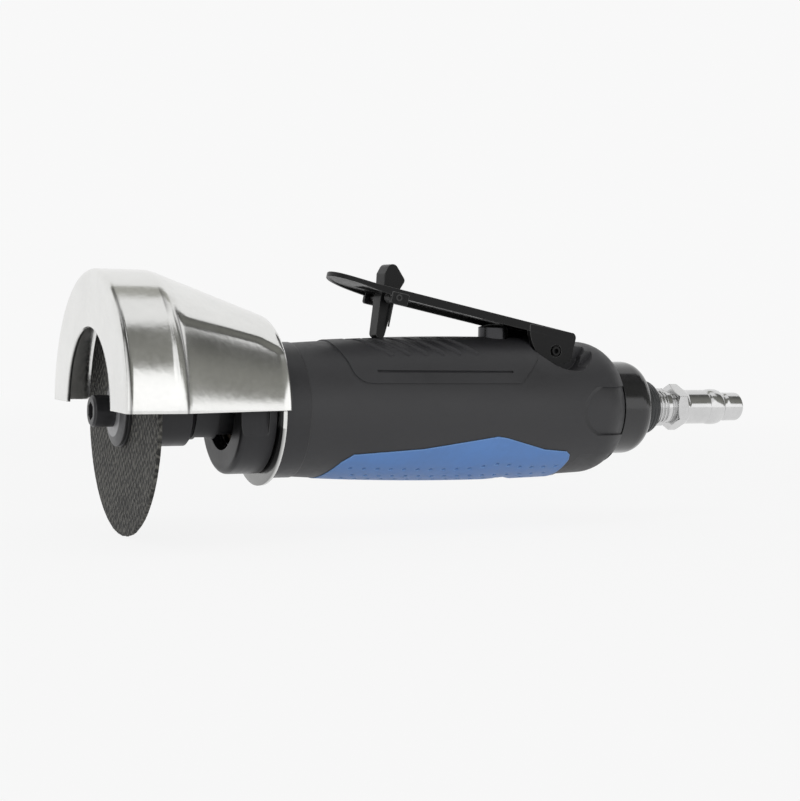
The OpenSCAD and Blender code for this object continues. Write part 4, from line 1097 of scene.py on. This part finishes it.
class CUTOFF_OT_stage(bpy.types.Operator):
    """Sets the floor, the studio light and the camera at the photograph's viewing angle"""

    bl_idname = "cutoff.stage"
    bl_label = "Stage"

    def execute(self, context):
        look = context.scene.cutoff_tool.stage
        scene = context.scene
        scene.view_settings.view_transform = "Standard"
        self.add_floor(look)
        self.add_world(scene, look)
        self.add_lamps(look)
        self.add_camera(scene)
        return {"FINISHED"}

    def add_floor(self, look):
        """A wide pale floor that keeps a faint shadow."""
        bpy.ops.object.select_all(action="DESELECT")
        bpy.ops.mesh.primitive_grid_add(x_subdivisions=8, y_subdivisions=8, size=40.0)
        floor = bpy.context.object
        floor.name = "stage_floor"
        floor.location.z = CAD_BOX[0][2] - 0.2 * MM
        material, tree, shader = begin_material("pale_floor")
        tree.nodes.remove(shader)
        ray = put(tree, "ShaderNodeLightPath").outputs
        seen = reckon(tree, "ADD", ray["Is Camera Ray"], ray["Is Glossy Ray"])
        seen = reckon(tree, "ADD", seen, ray["Is Transmission Ray"], use_clamp=True)
        matt = put(tree, "ShaderNodeBsdfDiffuse", {"Color": shade(grey(0.82))}).outputs[0]
        level = {"Color": shade(grey(look.backdrop)), "Strength": 1.0}
        pale = put(tree, "ShaderNodeEmission", level).outputs[0]
        # Only the floor near the tool shows its shadow
        away = put(tree, "ShaderNodeVectorMath", {0: object_place(tree)}, operation="LENGTH").outputs["Value"]
        plain = span(tree, away, 0.25, 0.9, 0.93, 1.0, interpolation_type="SMOOTHSTEP")
        share = reckon(tree, "MULTIPLY", seen, plain)
        mixed = put(tree, "ShaderNodeMixShader", {0: share, 1: matt, 2: pale}).outputs[0]
        tree.links.new(mixed, tree.nodes["Material Output"].inputs["Surface"])
        floor.data.materials.append(material)

    def add_world(self, scene, look):
        """White room with a dark gap above the front, as a studio has, and an overhead soft box in it."""
        world = bpy.data.worlds.new("studio")
        world.use_nodes = True
        scene.world = world
        tree = world.node_tree
        shader = tree.nodes["Background"]
        way = put(tree, "ShaderNodeTexCoord").outputs["Generated"]
        part = put(tree, "ShaderNodeSeparateXYZ", {0: way}).outputs
        ahead = reckon(tree, "MULTIPLY", part["Y"], -1.0)
        # Height is the angle in radians from straight ahead up over the top
        height = reckon(tree, "ARCTAN2", part["Z"], ahead)
        side = reckon(tree, "ABSOLUTE", part["X"])
        lean = reckon(tree, "MULTIPLY_ADD", part["X"], 0.62, height)

        def climb(value, low, high):
            return span(tree, value, low, high, interpolation_type="SMOOTHSTEP")

        def fall(value, low, high):
            return span(tree, value, low, high, 1.0, 0.0, interpolation_type="SMOOTHSTEP")

        def both(a, b):
            return reckon(tree, "MULTIPLY", a, b)

        inner = fall(side, 0.42, 0.58)
        gap = both(climb(lean, 0.765, 0.875), fall(height, 1.62, 1.76))
        soft_box = both(both(climb(height, 1.2, 1.32), fall(height, 1.72, 1.8)), inner)
        patch = both(both(climb(height, 1.76, 1.86), fall(height, 2.07, 2.13)), inner)
        ahead_low = both(fall(height, 0.6, 0.8), climb(height, -0.6, -0.2))
        shady = mix_tone(tree, climb(height, 0.8, 1.65), (0.24, 0.24, 0.22, 1.0), (0.09, 0.09, 0.085, 1.0))
        room = mix_tone(tree, ahead_low, (0.93, 0.93, 0.93, 1.0), (1.25, 1.25, 1.25, 1.0))
        room = mix_tone(tree, both(gap, reckon(tree, "SUBTRACT", 1.0, soft_box)), room, shady)
        room = mix_tone(tree, patch, room, (0.36, 0.36, 0.33, 1.0))
        ray = put(tree, "ShaderNodeLightPath").outputs
        seen = reckon(tree, "ADD", ray["Is Camera Ray"], ray["Is Transmission Ray"], use_clamp=True)
        level = mix_tone(tree, seen, room, shade(grey(look.backdrop)))
        tree.links.new(level, shader.inputs["Color"])
        shader.inputs["Strength"].default_value = 1.0

    def add_lamps(self, look):
        """A broad key above and a fill in front."""
        middle = Vector((0.10, 0.0, 0.0))
        lamps = (
            ("key_light", (0.05, -0.15, 0.75), 0.7, look.key_power),
            ("fill_light", (-0.25, -0.9, 0.35), 0.8, look.fill_power),
        )
        for name, place, size, energy in lamps:
            bpy.ops.object.light_add(type="AREA", location=place)
            lamp = bpy.context.object
            lamp.name = name
            lamp.data.shape = "RECTANGLE"
            lamp.data.size, lamp.data.size_y = size, size * 0.7
            lamp.data.energy = energy
            lamp.visible_glossy = False
            lamp.rotation_euler = (middle - Vector(place)).to_track_quat("-Z", "Y").to_euler()

    def add_camera(self, scene):
        """The camera, from the ellipses of disc and clamping plate in the photograph."""
        turn, down, roll = (math.radians(a) for a in (25.711, 2.766, -1.067))
        place = (-0.134915, -0.468347, 0.027810)
        focal_px, photo_px, sensor = 1609.65, 800.0, 36.0
        right = Vector((math.cos(turn), -math.sin(turn), 0.0))
        level = Vector((math.sin(turn), math.cos(turn), 0.0))
        up = Vector((0.0, 0.0, 1.0))
        ahead = level * math.cos(down) - up * math.sin(down)
        above = level * math.sin(down) + up * math.cos(down)
        axes = (
            right * math.cos(roll) - above * math.sin(roll),
            right * math.sin(roll) + above * math.cos(roll),
            -ahead,
        )
        bpy.ops.object.camera_add()
        camera = bpy.context.object
        camera.name = "camera"
        camera.matrix_world = Matrix.Translation(place) @ Matrix(axes).transposed().to_4x4()
        camera.data.sensor_fit = "HORIZONTAL"
        camera.data.sensor_width = sensor
        camera.data.lens = focal_px * sensor / photo_px
        camera.data.clip_start, camera.data.clip_end = 0.01, 100.0
        scene.camera = camera


STEPS = (
    CUTOFF_OT_stage,
    CUTOFF_OT_finishes,
    CUTOFF_OT_guard,
    CUTOFF_OT_disc,
    CUTOFF_OT_flange,
    CUTOFF_OT_lever,
    CUTOFF_OT_catch,
    CUTOFF_OT_spring,
    CUTOFF_OT_grip,
    CUTOFF_OT_insert,
    CUTOFF_OT_inlet,
)


class CUTOFF_PT_tool(bpy.types.Panel):
    """Lists the steps that dress the cut-off tool"""

    bl_idname = "CUTOFF_PT_tool"
    bl_label = "Cut-off tool"
    bl_space_type = "VIEW_3D"
    bl_region_type = "UI"
    bl_category = "Cut-off tool"

    def draw(self, context):
        for step in STEPS:
            self.layout.operator(step.bl_idname)
        for name in ToolSettings.__annotations__:
            group = getattr(context.scene.cutoff_tool, name)
            box = self.layout.box()
            for key in group.__annotations__:
                box.prop(group, key)


CLASSES = (
    GuardSettings,
    DiscSettings,
    GripSettings,
    LeverSettings,
    InletSettings,
    StageSettings,
    ToolSettings,
    *STEPS,
    CUTOFF_PT_tool,
)


def register():
    for cls in CLASSES:
        bpy.utils.register_class(cls)
    bpy.types.Scene.cutoff_tool = PointerProperty(type=ToolSettings)


def unregister():
    del bpy.types.Scene.cutoff_tool
    for cls in reversed(CLASSES):
        bpy.utils.unregister_class(cls)


def main():
    register()
    for step in STEPS:
        space, name = step.bl_idname.split(".")
        getattr(getattr(bpy.ops, space), name)()


if __name__ == "__main__":
    main()
